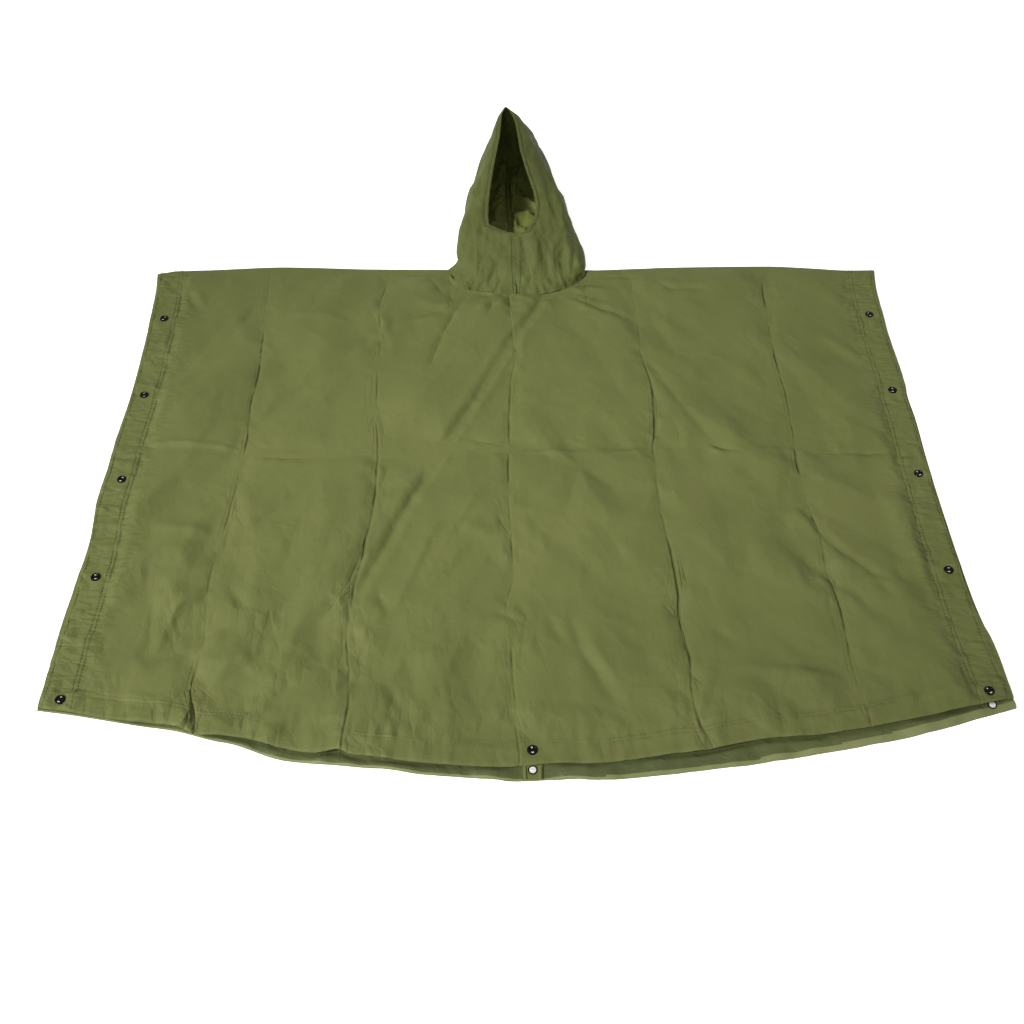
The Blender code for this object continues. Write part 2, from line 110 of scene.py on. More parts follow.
# Opal acrylic lit faintly from below: an even white right out to the corners of the view
opal_acrylic, _, acrylic_shader = new_material("opal_acrylic_table")
acrylic_shader.inputs["Base Color"].default_value = linear("#F2F2F2")
acrylic_shader.inputs["Roughness"].default_value = 0.9
acrylic_shader.inputs["Specular IOR Level"].default_value = 0.1
acrylic_shader.inputs["Emission Color"].default_value = linear("#FFFFFF")
acrylic_shader.inputs["Emission Strength"].default_value = TABLE_GLOW
floor = add_piece("floor", floor_mesh, opal_acrylic)

LAMP_PLACE = (-5.5, -3.3, 5.9)
LAMP_AIM = (-0.23, -0.10, 0.0)
LAMP_WIDTH = 2.0
LAMP_WATTS = 18.6
LAMP_SPREAD = 17.0
SKY_LIGHT = 0.55

lamp = bpy.data.objects.new("soft_lamp", bpy.data.lights.new("soft_lamp", "AREA"))
lamp.data.shape = "DISK"
lamp.data.size = LAMP_WIDTH
lamp.data.spread = math.radians(LAMP_SPREAD)
lamp.data.energy = LAMP_WATTS
lamp.location = LAMP_PLACE
lamp.rotation_euler = (Vector(LAMP_AIM) - Vector(LAMP_PLACE)).to_track_quat("-Z", "Y").to_euler()
bpy.context.scene.collection.objects.link(lamp)

room = bpy.data.worlds.new("white_room")
room.use_nodes = True
room.node_tree.nodes["Background"].inputs["Color"].default_value = linear("#FFFFFF")
room.node_tree.nodes["Background"].inputs["Strength"].default_value = SKY_LIGHT
bpy.context.scene.world = room


# -------- back panel
# The back is one length of coated taffeta that lies on the floor. Its hems are turned to the inside
# and stitched, and its lower edge shows as a wavy strip beyond the front's hem.

# Cloth walls, and the heights of the layers above the floor
SINGLE_WALL = 0.0006
HEM_WALL = 0.0018
LAYER_GAP = 0.0003

# The outline that both panels share
HALF_WIDTH = 0.698
FRONT_LENGTH = 1.054
FOLD_Y = FRONT_LENGTH / 2
SIDE_HEM = 0.047
BOTTOM_HEM = 0.034

# The neck hole, across the shoulder fold
NECK_HALF = 0.1325
NECK_FRONT_DROP = 0.0800
NECK_BACK_DROP = 0.033
NECK_SQUARENESS = 2.5
NECK_FADE_DOWN = 0.40
HEM_FADE_DOWN = 0.50

# Each edge by a few places, in mm. The sides: how far out at a distance down.
LEFT_EDGE = (
    (0, 709), (50, 703), (100, 700), (200, 696), (350, 696), (450, 700), (520, 700), (590, 703),
    (650, 699), (700, 697), (800, 700), (900, 704), (1060, 705),
)
RIGHT_EDGE = (
    (0, 710), (50, 703), (100, 700), (200, 697), (320, 699), (350, 696), (410, 697), (500, 694),
    (600, 693), (750, 694), (850, 697), (950, 706), (1060, 708),
)
# The shoulder fold: how far down it sags, or up it bows, at a place across.
FOLD_EDGE = (
    (-710, 8), (-690, 4), (-650, -1), (-600, -3), (-480, -10), (-400, -8), (-300, -3), (-133, 0),
    (133, 4), (240, 0), (300, -3), (500, -5), (560, -1), (600, 3), (650, 8), (710, 8),
)
# The two lower edges: how far down at a place across.
FRONT_HEM_EDGE = (
    (-710, 957), (-650, 966), (-600, 976), (-550, 984), (-500, 991), (-470, 1003), (-440, 1004),
    (-400, 1010), (-350, 1024), (-300, 1034), (-265, 1031), (-250, 1038), (-200, 1044), (-150, 1050),
    (-90, 1054), (-30, 1056), (40, 1051), (100, 1052), (150, 1047), (200, 1041), (250, 1037),
    (300, 1026), (350, 1018), (400, 1016), (450, 1009), (500, 1000), (550, 990), (600, 980),
    (650, 969), (710, 957),
)
BACK_HEM_EDGE = (
    (-710, 960), (-650, 969), (-600, 978), (-550, 987), (-500, 995), (-450, 1009), (-400, 1022),
    (-350, 1040), (-300, 1047), (-250, 1052), (-200, 1057), (-150, 1065), (-100, 1069), (-50, 1073),
    (-20, 1076), (50, 1074), (100, 1076), (150, 1073), (200, 1069), (250, 1064), (300, 1058),
    (350, 1050), (400, 1042), (450, 1034), (500, 1025), (550, 1015), (600, 1003), (650, 988),
    (710, 972),
)


def smooth(value, low, high):
    """0 below low, 1 above high, with soft ends."""
    share = np.clip((value - low) / (high - low), 0.0, 1.0)
    return share * share * (3.0 - 2.0 * share)


def bell(distance, width):
    return np.exp(-((distance / width) ** 2))


def blend(first, second, share):
    return first + (second - first) * share


def curve_through(stations, values, at):
    """Values at places between stations, on one smooth curve. values may hold several columns."""
    gaps = np.diff(stations)
    steps = np.diff(values, axis=0)
    wide = gaps.reshape(-1, *(1,) * (values.ndim - 1))
    slopes = np.empty_like(values)
    slopes[1:-1] = (steps[1:] + steps[:-1]) / (wide[1:] + wide[:-1])
    slopes[0], slopes[-1] = steps[0] / wide[0], steps[-1] / wide[-1]
    place = np.clip(np.searchsorted(stations, at) - 1, 0, len(gaps) - 1)
    gap = gaps[place]
    share = np.clip((at - stations[place]) / gap, 0.0, 1.0)
    if values.ndim > 1:
        share, gap = share[..., None], gap[..., None]
    rise, fall = slopes[place] * gap, slopes[place + 1] * gap
    first, second = values[place], values[place + 1]
    cubic = 2.0 * (first - second) + rise + fall
    square = 3.0 * (second - first) - 2.0 * rise - fall
    return first + share * (rise + share * (square + share * cubic))


def along_edge(edge, at):
    """An edge's value at places between its points, which are in mm. The result is in metres."""
    stations, values = np.array(edge, float).T / 1000.0
    return curve_through(stations, values, at)


def neck_down(x, drop):
    """The edge of the neck hole: a squarish half oval hanging from the fold."""
    share = np.minimum(np.abs(x) / NECK_HALF, 1.0)
    return drop * (1.0 - share**NECK_SQUARENESS) ** (1.0 / NECK_SQUARENESS)


def panel_down(x, row, neck_drop, hem_edge):
    """Distance down of a mesh row: level across the middle, bent to the top edge and to the hem."""
    in_neck = np.abs(x) < NECK_HALF
    top = np.where(in_neck, neck_down(x, neck_drop), along_edge(FOLD_EDGE, x))
    down = row + top * np.maximum(1.0 - row / NECK_FADE_DOWN, 0.0)
    share = np.maximum(row - HEM_FADE_DOWN, 0.0) / (FRONT_LENGTH - HEM_FADE_DOWN)
    return down + (along_edge(hem_edge, x) - FRONT_LENGTH) * share


def spaced(start, end, step, *finer):
    """Places from start to end, a step apart. Each finer group is a step, a reach and what it is near."""
    ruler = np.linspace(start, end, 6000)
    pace = np.full(ruler.shape, 1.0 / step)
    for fine_step, reach, places in finer:
        nearest = np.min([np.abs(ruler - place) for place in places], axis=0)
        pace = np.maximum(pace, 1.0 / blend(fine_step, step, smooth(nearest, reach, 2.2 * reach)))
    passed = np.concatenate(([0.0], np.cumsum(0.5 * (pace[1:] + pace[:-1]) * np.diff(ruler))))
    count = 2 * math.ceil(passed[-1] / 2.0)
    return np.interp(np.linspace(0.0, passed[-1], count + 1), passed, ruler)


def crumple(x, down, size, seed, octaves=2):
    """Soft random relief, from -1 to 1 or so, whose waves are about size long."""
    total = np.zeros(x.size)
    for octave in range(octaves):
        scale = 2.0**octave / size
        points = zip(x.ravel() * scale, down.ravel() * scale)
        field = [noise.noise((a, b, seed + 7.3 * octave)) for a, b in points]
        total += np.array(field) * 0.5**octave
    return total.reshape(x.shape)


FACET_JITTER = 0.24


def facets(x, down, pitch, seed):
    """Random relief, from -0.5 to 0.5, of flat three-cornered facets about pitch wide: crushed cloth."""
    across, along = x.ravel() / pitch, down.ravel() / pitch
    first_x, first_y = math.floor(across.min()) - 2, math.floor(along.min()) - 2
    shape = (math.ceil(across.max()) - first_x + 4, math.ceil(along.max()) - first_y + 4)
    random = np.random.default_rng(seed)
    corner_x = first_x + np.arange(shape[0])[:, None] + random.uniform(-FACET_JITTER, FACET_JITTER, shape)
    corner_y = first_y + np.arange(shape[1])[None, :] + random.uniform(-FACET_JITTER, FACET_JITTER, shape)
    corner_z = random.uniform(-0.5, 0.5, shape)
    flipped = random.random(shape) < 0.5
    total = np.zeros(across.shape)
    cell_x = np.floor(across).astype(int) - first_x
    cell_y = np.floor(along).astype(int) - first_y
    for step_x, step_y in itertools.product((-1, 0, 1), repeat=2):
        column, row = cell_x + step_x, cell_y + step_y
        flip = flipped[column, row]
        halves = (
            ((column, row), (column + 1, row), (np.where(flip, column, column + 1), row + 1)),
            ((np.where(flip, column + 1, column), row), (column + 1, row + 1), (column, row + 1)),
        )
        for corners in halves:
            ax, bx, cx = (corner_x[place] for place in corners)
            ay, by, cy = (corner_y[place] for place in corners)
            az, bz, cz = (corner_z[place] for place in corners)
            area = (bx - ax) * (cy - ay) - (cx - ax) * (by - ay)
            toward_b = ((across - ax) * (cy - ay) - (cx - ax) * (along - ay)) / area
            toward_c = ((bx - ax) * (along - ay) - (across - ax) * (by - ay)) / area
            within = (toward_b >= 0.0) & (toward_c >= 0.0) & (toward_b + toward_c <= 1.0)
            total = np.where(within, az + toward_b * (bz - az) + toward_c * (cz - az), total)
    return total.reshape(x.shape)


# How a placed fold varies along its run, in metres: its line wavers, its height ripples where it is
# narrow, and its ends fade out. Its crisp line is noted on the cloth as far as LINE_REACH from it.
FOLD_WAVER = 0.0004
WAVER_LENGTHS = (0.0083, 0.0190)
NARROW_FOLD = 0.0048
RIPPLE_SHARE = 0.26
RIPPLE_LENGTHS = (0.0115, 0.0047)
FADE_LENGTH = 0.045
LINE_REACH = 0.006


def laid_folds(x, down, folds, lines=None):
    """Height, in metres, of listed folds. Each row is half width, height and lean, then points
    (x, down), all but the lean in mm. A trough's height is negative, and lean widens its right flank.
    lines, if given, takes each point's distance from its nearest fold line and that line's height.
    """
    total = np.zeros(x.shape)
    for number, (half_width, height, lean, *route) in enumerate(folds):
        path = np.array(route, float) / 1000.0
        width = half_width / 1000.0
        reach = 3.5 * width
        low, high = path.min(axis=0) - reach, path.max(axis=0) + reach
        near = (x > low[0]) & (x < high[0]) & (down > low[1]) & (down < high[1])
        here_x, here_down = x[near], down[near]
        closest = np.full(here_x.shape, 9.0)
        aside = np.zeros(here_x.shape)
        along = np.zeros(here_x.shape)
        done = 0.0
        for (x0, down0), (x1, down1) in zip(path, path[1:]):
            run_x, run_down = x1 - x0, down1 - down0
            length = math.hypot(run_x, run_down)
            share = np.clip(((here_x - x0) * run_x + (here_down - down0) * run_down) / length**2, 0.0, 1.0)
            off_x, off_down = here_x - x0 - share * run_x, here_down - down0 - share * run_down
            distance = np.hypot(off_x, off_down)
            closer = distance < closest
            closest = np.where(closer, distance, closest)
            aside = np.where(closer, np.sign(off_x * run_down - off_down * run_x) * distance, aside)
            along = np.where(closer, done + share * length, along)
            done += length
        waver = np.sin(along / WAVER_LENGTHS[0] + 2.1 * number) + np.sin(along / WAVER_LENGTHS[1] + number)
        aside += FOLD_WAVER * waver
        fade = min(0.40 * done, FADE_LENGTH)
        strength = smooth(along, -0.002, fade) * (1.0 - smooth(along, done - fade, done + 0.002))
        ripple = np.sin(along / RIPPLE_LENGTHS[0] + 1.7 * number)
        ripple += 0.75 * np.sin(along / RIPPLE_LENGTHS[1] + number)
        uneven = 1.0 + RIPPLE_SHARE * min(1.0, NARROW_FOLD / width) ** 2 * ripple
        flank = np.where(aside > 0.0, width * (1.0 + lean), width * (1.0 - lean))
        # 1 on the fold's line, rounded there, and straight-sided further out
        profile = np.exp(0.7 - np.sqrt(0.49 + 1.3 * (aside / flank) ** 2))
        total[near] += height / 1000.0 * strength * uneven * profile
        if lines is not None:
            note_line(lines, near, aside, 0.5 * min(height, 0.0) / 1000.0 * strength * uneven)
    return total


def note_line(lines, near, aside, height):
    """Notes a fold's crisp line on the points that lie nearer to it than to the lines noted before."""
    fading = height * (1.0 - smooth(np.abs(aside), LINE_REACH, 1.7 * LINE_REACH))
    closer = (np.abs(aside) < np.abs(lines["gap"][near])) & (np.abs(fading) > 0.00002)
    lines["gap"][near] = np.where(closer, aside, lines["gap"][near])
    lines["height"][near] = np.where(closer, fading, lines["height"][near])


def add_uv(mesh, flat):
    """A UV map in metres of cloth, from one (across, along) place for each vertex."""
    corners = np.empty(len(mesh.loops), np.int32)
    mesh.loops.foreach_get("vertex_index", corners)
    layer = mesh.uv_layers.new(name="cloth")
    layer.data.foreach_set("uv", np.asarray(flat, np.float32)[corners].ravel())


def grid_quads(points, first, face_up):
    """A grid's quads, each of which bends along the diagonal that follows the folds best."""
    rows, columns = points.shape[:2]
    index = first + np.arange(rows * columns).reshape(rows, columns)
    corners = (index[:-1, :-1], index[1:, :-1], index[1:, 1:], index[:-1, 1:])
    quads = np.stack(corners if face_up else corners[::-1], axis=-1)
    height = points[..., 2]
    # The height that a smooth cloth would have in the middle of each quad, from the 4 by 4 points round it
    padded = np.pad(height, 1, mode="edge")
    share = (-0.0625, 0.5625, 0.5625, -0.0625)
    middle = sum(
        share[row] * share[column] * padded[row : row + rows - 1, column : column + columns - 1]
        for row, column in itertools.product(range(4), repeat=2)
    )
    along_first = np.abs(middle - 0.5 * (height[:-1, :-1] + height[1:, 1:]))
    along_second = np.abs(middle - 0.5 * (height[1:, :-1] + height[:-1, 1:]))
    turned = (along_first > along_second) == face_up
    quads = np.where(turned[..., None], np.roll(quads, -1, axis=-1), quads)
    return quads.reshape(-1, 4).tolist()


def ring_of(rows, columns, first):
    """The outer ring of a grid's vertices, down its left side, along the bottom, up and back."""
    index = first + np.arange(rows * columns).reshape(rows, columns)
    return [*index[:-1, 0], *index[-1, :-1], *index[:0:-1, -1], *index[0, :0:-1]]


def cloth_shell(name, outer, inner, flat, finish, face_up=True):
    """A closed shell: the outer grid, an inner grid as fine or half as fine, and the wall at its edges."""
    rows, columns = outer.shape[:2]
    inner_rows, inner_columns = inner.shape[:2]
    ratio = (rows - 1) // (inner_rows - 1)
    first_inner = rows * columns
    faces = grid_quads(outer, 0, face_up)
    faces += grid_quads(inner, first_inner, not face_up)
    outer_ring = ring_of(rows, columns, 0)
    inner_ring = ring_of(inner_rows, inner_columns, first_inner)
    for place, start in enumerate(inner_ring):
        end = inner_ring[(place + 1) % len(inner_ring)]
        fine = [outer_ring[(ratio * place + step) % len(outer_ring)] for step in range(ratio + 1)]
        wall = [start, end, *reversed(fine)]
        faces.append(wall if face_up else wall[::-1])
    mesh = bpy.data.meshes.new(name)
    mesh.from_pydata(np.concatenate([outer.reshape(-1, 3), inner.reshape(-1, 3)]).tolist(), [], faces)
    add_uv(mesh, np.concatenate([flat.reshape(-1, 2), flat[::ratio, ::ratio].reshape(-1, 2)]))
    mesh.shade_smooth()
    mesh.set_sharp_from_angle(angle=math.radians(60))
    return add_piece(name, mesh, finish)


def lowest_near(heights):
    """On every second row and column, the lowest height within one such step."""
    padded = np.pad(heights, 2, mode="edge")
    rows, columns = heights.shape
    windows = [padded[r : r + rows, c : c + columns] for r in range(5) for c in range(5)]
    return np.min(windows, axis=0)[::2, ::2]


# Coated taffeta: a close, plain weave of fine nylon with a thin proofing on its inner side, which gives it
# a dull, slightly waxy face, crisp small crumples and crease lines that stay.

# Thread spacing: the real one is near 0.25 mm, too fine to show, so it is drawn coarser and very faint
THREAD_PITCH_MM = 0.9
THREAD_DEPTH = 0.00006
THREAD_STRENGTH = 0.25
CRUMPLE_MM = (44.0, 13.0)
TONE_PATCH_MM = 190.0
# A wave texture of this scale, over one metre, has a wave in each metre
METRES_TO_WAVES = 2.0 * math.pi / 20.0
CREASE_LINE_MM = 1.7
STITCH_HOLLOW_MM = 1.3
# A stitch is near 3 mm long on the real one, and is drawn longer so that it shows
STITCH_PITCH = 0.0055
# Stitch rows: distance in from a side edge and up from the hem's edge
SIDE_STITCH_ROWS = (0.0075, 0.0440, 0.0505)
HEM_STITCH_ROWS = (0.0300, 0.0360)


def groove(tree, distance, half_width):
    """1 along a line and 0 beyond it, from the distance to it in mm."""
    away = add_node(tree, "ShaderNodeMath", {"operation": "ABSOLUTE"}, links={0: distance}).outputs[0]
    return add_node(
        tree, "ShaderNodeMapRange", {"interpolation_type": "SMOOTHSTEP"},
        {"From Max": 2.0 * half_width, "To Min": 1.0, "To Max": 0.0},
        {"Value": away},
    ).outputs["Result"]


def sewn_rows(tree, gap, rows, cloth, direction):
    """The hollows that the stitches pull, one row at each distance from the edge."""
    grooves = []
    for row in rows:
        beside = add_node(tree, "ShaderNodeMath", {"operation": "SUBTRACT"}, {1: 1000.0 * row}, {0: gap})
        grooves.append(groove(tree, beside.outputs[0], STITCH_HOLLOW_MM))
    total = grooves[0]
    for added in grooves[1:]:
        total = add_node(tree, "ShaderNodeMath", {"operation": "ADD"}, links={0: total, 1: added}).outputs[0]
    beat = add_node(
        tree, "ShaderNodeTexWave", {"bands_direction": direction},
        {"Scale": METRES_TO_WAVES / STITCH_PITCH},
        {"Vector": cloth},
    )
    pull = add_node(
        tree, "ShaderNodeMapRange",
        values={"To Min": 0.5, "To Max": 1.0},
        links={"Value": beat.outputs["Fac"]},
    )
    return add_node(
        tree, "ShaderNodeMath", {"operation": "MULTIPLY"}, links={0: total, 1: pull.outputs["Result"]}
    ).outputs[0]


# The crushed facets: size and depth in mm, how they are drawn out, and the note of where they are
CRUSHED_FACETS = (
    (58.0, 15.0, (1.0, 0.55, 1.0), "crushed"),
    (23.0, 6.2, (1.0, 0.55, 1.0), "crushed"),
    (14.0, 4.2, (0.42, 1.0, 1.0), "puckered"),
)
SEWN_DEPTH_MM = 0.55
FOLD_LINE_SHARE = 0.50
CREASE_SHADE_SHARE = 0.34
# Painted shade in the hollows of creases and sewn rows, in a brown that also stands for rubbing there,
# and the pale bloom of the coating
CREASE_SHADE_AND_RUB_TONE = "#3D3417"
SHEEN_TONE = "#C9CC9A"
SHEEN = 0.02
WORN_SMOOTHER = 0.05


def add_creases(tree, place, cloth, patches, normal, tone):
    """The normal and tone of cloth with its crushed facets, fold lines and sewn rows, read from its notes."""
    # Straight-edged facets, stronger where the cloth was crushed
    noted = {
        name: add_node(tree, "ShaderNodeAttribute", {"attribute_name": name}).outputs["Fac"]
        for name in ("crushed", "puckered", "fold_gap_mm", "fold_height_mm", "side_gap_mm", "hem_gap_mm")
    }
    for size, depth, stretch, where in CRUSHED_FACETS:
        laid = add_node(
            tree, "ShaderNodeMapping",
            values={"Scale": stretch, "Rotation": (0.0, 0.0, 0.02 * size)},
            links={"Vector": place},
        ).outputs["Vector"]
        shards = add_node(
            tree, "ShaderNodeTexVoronoi", {"feature": "DISTANCE_TO_EDGE"},
            {"Scale": 1000.0 / size},
            {"Vector": laid},
        ).outputs["Distance"]
        depths = add_node(
            tree, "ShaderNodeMath", {"operation": "MULTIPLY"}, links={0: shards, 1: noted[where]}
        ).outputs[0]
        normal = add_node(
            tree, "ShaderNodeBump",
            values={"Distance": depth / 1000.0},
            links={"Height": depths, "Normal": normal},
        ).outputs["Normal"]
    # The line of each fold, and the sewn rows: hollows too narrow for the mesh, with painted shade in them
    line = groove(tree, noted["fold_gap_mm"], CREASE_LINE_MM)
    folds = add_node(
        tree, "ShaderNodeMath", {"operation": "MULTIPLY"}, links={0: line, 1: noted["fold_height_mm"]}
    ).outputs[0]
    side_rows = sewn_rows(tree, noted["side_gap_mm"], SIDE_STITCH_ROWS, cloth, "Y")
    hem_rows = sewn_rows(tree, noted["hem_gap_mm"], HEM_STITCH_ROWS, cloth, "X")
    # The hem's rows pull in places only
    pulled = add_node(
        tree, "ShaderNodeMapRange",
        values={"From Min": 0.46, "From Max": 0.62, "To Min": 0.10, "To Max": 0.9},
        links={"Value": patches.outputs["Fac"]},
    ).outputs["Result"]
    sewn = add_node(
        tree, "ShaderNodeMath", {"operation": "MULTIPLY_ADD"},
        links={0: hem_rows, 1: pulled, 2: side_rows},
    ).outputs[0]
    sunk = add_node(
        tree, "ShaderNodeMath", {"operation": "MULTIPLY"}, {1: -SEWN_DEPTH_MM}, {0: sewn}
    ).outputs[0]
    relief = add_node(
        tree, "ShaderNodeMath", {"operation": "MULTIPLY_ADD"}, {1: FOLD_LINE_SHARE}, {0: folds, 2: sunk}
    ).outputs[0]
    normal = add_node(
        tree, "ShaderNodeBump",
        values={"Distance": 0.001},
        links={"Height": relief, "Normal": normal},
    ).outputs["Normal"]
    # Painted shade: the tone goes towards the brown in the hollows, which also stands for rubbing there
    rub_and_painted_shade = add_node(
        tree, "ShaderNodeMapRange",
        values={"From Min": -0.05, "From Max": -1.6, "To Max": CREASE_SHADE_SHARE},
        links={"Value": relief},
    ).outputs["Result"]
    tone = add_node(
        tree, "ShaderNodeMix", {"data_type": "RGBA"},
        {"B": linear(CREASE_SHADE_AND_RUB_TONE)},
        {"Factor": rub_and_painted_shade, "A": tone},
    ).outputs["Result"]
    return normal, tone


def taffeta(name, light_hex, dark_hex, roughness, crumple_depth_mm, creased=False, gloss=0.14):
    """Taffeta in two close tones. A creased one also reads the notes on its piece for its fine creases."""
    made, tree, shader = new_material(name)
    place = add_node(tree, "ShaderNodeTexCoord").outputs["Object"]
    cloth = add_node(tree, "ShaderNodeUVMap", {"uv_map": "cloth"}).outputs["UV"]
    # Soft patches of the two tones, which also vary the gloss
    patches = add_node(
        tree, "ShaderNodeTexNoise",
        values={"Scale": 1000.0 / TONE_PATCH_MM, "Detail": 5.0, "Roughness": 0.62, "Distortion": 0.4},
        links={"Vector": place},
    )
    spread = add_node(
        tree, "ShaderNodeMapRange",
        values={"From Min": 0.32, "From Max": 0.68},
        links={"Value": patches.outputs["Fac"]},
    )
    tone = add_node(
        tree, "ShaderNodeMix", {"data_type": "RGBA"},
        {"A": linear(dark_hex), "B": linear(light_hex)},
        {"Factor": spread.outputs["Result"]},
    ).outputs["Result"]
    # Crumples of two sizes, then the weave
    normal = None
    for size in CRUMPLE_MM:
        small = add_node(
            tree, "ShaderNodeTexNoise", {"noise_type": "RIDGED_MULTIFRACTAL"},
            {"Scale": 1000.0 / size, "Detail": 3.0, "Roughness": 0.5, "Distortion": 0.8},
            {"Vector": place},
        )
        normal = add_node(
            tree, "ShaderNodeBump",
            values={"Distance": crumple_depth_mm / 1000.0 * size / CRUMPLE_MM[0]},
            links={"Height": small.outputs["Fac"], **({"Normal": normal} if normal else {})},
        ).outputs["Normal"]
    for direction in ("X", "Y"):
        threads = add_node(
            tree, "ShaderNodeTexWave", {"bands_direction": direction},
            {"Scale": METRES_TO_WAVES * 1000.0 / THREAD_PITCH_MM, "Distortion": 0.6, "Detail": 1.0},
            {"Vector": cloth},
        )
        normal = add_node(
            tree, "ShaderNodeBump",
            values={"Strength": THREAD_STRENGTH, "Distance": THREAD_DEPTH},
            links={"Height": threads.outputs["Fac"], "Normal": normal},
        ).outputs["Normal"]
    if creased:
        normal, tone = add_creases(tree, place, cloth, patches, normal, tone)
    rougher, smoother = roughness + WORN_SMOOTHER, roughness - WORN_SMOOTHER
    worn = add_node(
        tree, "ShaderNodeMapRange",
        values={"From Min": 0.3, "From Max": 0.7, "To Min": rougher, "To Max": smoother},
        links={"Value": patches.outputs["Fac"]},
    )
    tree.links.new(tone, shader.inputs["Base Color"])
    tree.links.new(worn.outputs["Result"], shader.inputs["Roughness"])
    tree.links.new(normal, shader.inputs["Normal"])
    shader.inputs["Specular IOR Level"].default_value = gloss
    shader.inputs["Sheen Weight"].default_value = SHEEN
    shader.inputs["Sheen Roughness"].default_value = 0.45
    shader.inputs["Sheen Tint"].default_value = linear(SHEEN_TONE)
    return made


# The outer side: plain on the tab and the side hems of the back, with its fine creases on the front, and
# coloured darker on the hood, as painted shade
OUTER_TONES = ("#5C6035", "#555A30")
OUTER_ROUGHNESS = 0.66
PROOFED_ROUGHNESS = 0.50
outer_taffeta = taffeta("coated_taffeta_olive", *OUTER_TONES, OUTER_ROUGHNESS, crumple_depth_mm=1.6)
creased_taffeta = taffeta(
    "coated_taffeta_olive_creased", *OUTER_TONES, OUTER_ROUGHNESS, crumple_depth_mm=1.6, creased=True
)
shaded_hood_taffeta = taffeta(
    "coated_taffeta_olive_hood_shaded", "#545A2E", "#4A4F27", OUTER_ROUGHNESS, crumple_depth_mm=2.4, creased=True
)
# The proofed inner side is smoother and more crumpled. On the back it is coloured darker, partly as painted
# shade where it shows beyond the front's hem; inside the hood it is painted lighter and warmer, for the light
# that comes through the thin cloth.
shaded_proofed_side = taffeta(
    "coated_taffeta_proofed_side", "#525832", "#40462A", PROOFED_ROUGHNESS, crumple_depth_mm=4.5, gloss=0.16
)
lit_hood_inner_side = taffeta(
    "coated_taffeta_hood_inner_side", "#70763A", "#585D2E", PROOFED_ROUGHNESS,
    crumple_depth_mm=4.5, gloss=0.12,
)
# The outer side where it is turned over at the back hem is painted paler, as painted light on its edge
lit_turned_edge_taffeta = taffeta(
    "coated_taffeta_turned_edge_lit", "#767A50", "#686C44", OUTER_ROUGHNESS, crumple_depth_mm=1.6
)

# The back panel's mesh step, its wall and the roll of its lower edge
BACK_STEP = 0.0062
BACK_FINE_STEPS = (0.0040, 0.0028)
BACK_TOP_ROW = 0.003
BACK_WALL = 0.0012
BACK_ROLL = 0.0012
BACK_ROLL_WIDTH = 0.0045
# Width, in mm, of the painted-light pale band of turned-over cloth along the lower edge, at a place across in
# mm
LIT_EDGE_BAND = ((-710, 3), (-300, 3), (-60, 4), (120, 6), (300, 8), (450, 11), (600, 15), (710, 12))
# The strip's waves and facets: how high they are and how long
STRIP_WAVE = 0.0042
STRIP_WAVE_SIZE = 0.060
STRIP_FACETS = 0.0050
STRIP_FACET_PITCH = 0.019
HEM_STUD_X = 0.006
NECK_CLEARANCE = 0.0006


def turned_hem(edge_gap, hem_gap):
    """1 on the doubled cloth of the turned hems and 0 on the single cloth."""
    return np.maximum(
        1.0 - smooth(edge_gap, SIDE_HEM, SIDE_HEM + 0.006),
        1.0 - smooth(hem_gap, BOTTOM_HEM, BOTTOM_HEM + 0.006),
    )


def panel_grid(columns, rows, neck_drop, hem_edge, guides=(), guide_paths=(), drawn_in=(0.0, 0.0)):
    """x and distance down of every mesh point. The columns follow the guides' paths and the side edges,
    which may be drawn in a little on the left and on the right.
    """
    at = (-HALF_WIDTH, *guides, HALF_WIDTH)
    lines = [drawn_in[0] - along_edge(LEFT_EDGE, rows)]
    for path in guide_paths:
        line = along_edge(path, rows)
        for _ in range(3):
            line = along_edge(path, panel_down(line, rows, neck_drop, hem_edge))
        lines.append(line)
    lines.append(along_edge(RIGHT_EDGE, rows) - drawn_in[1])
    x = np.array([np.interp(columns, at, places) for places in np.array(lines).T])
    row = np.broadcast_to(rows[:, None], x.shape)
    return x, panel_down(x, row, neck_drop, hem_edge)


def world_points(x, down, z):
    return np.stack([x, FOLD_Y - down, z], axis=-1)


def edge_gaps(x, down, hem_edge):
    """Distances to the nearer side edge and to the hem's edge."""
    from_side = np.minimum(x + along_edge(LEFT_EDGE, down), along_edge(RIGHT_EDGE, down) - x)
    return from_side, along_edge(hem_edge, x) - down


back_columns = spaced(
    -HALF_WIDTH, HALF_WIDTH, BACK_STEP,
    (BACK_FINE_STEPS[0], 0.012, (-HALF_WIDTH, HALF_WIDTH)),
)
back_rows = spaced(
    BACK_TOP_ROW, FRONT_LENGTH, BACK_STEP,
    (BACK_FINE_STEPS[1], BOTTOM_HEM, (FRONT_LENGTH,)),
)
back_x, back_down = panel_grid(back_columns, back_rows, NECK_BACK_DROP + NECK_CLEARANCE, BACK_HEM_EDGE)
back_side_gap, back_hem_gap = edge_gaps(back_x, back_down, BACK_HEM_EDGE)
back_wall = blend(BACK_WALL, HEM_WALL, turned_hem(back_side_gap, back_hem_gap))
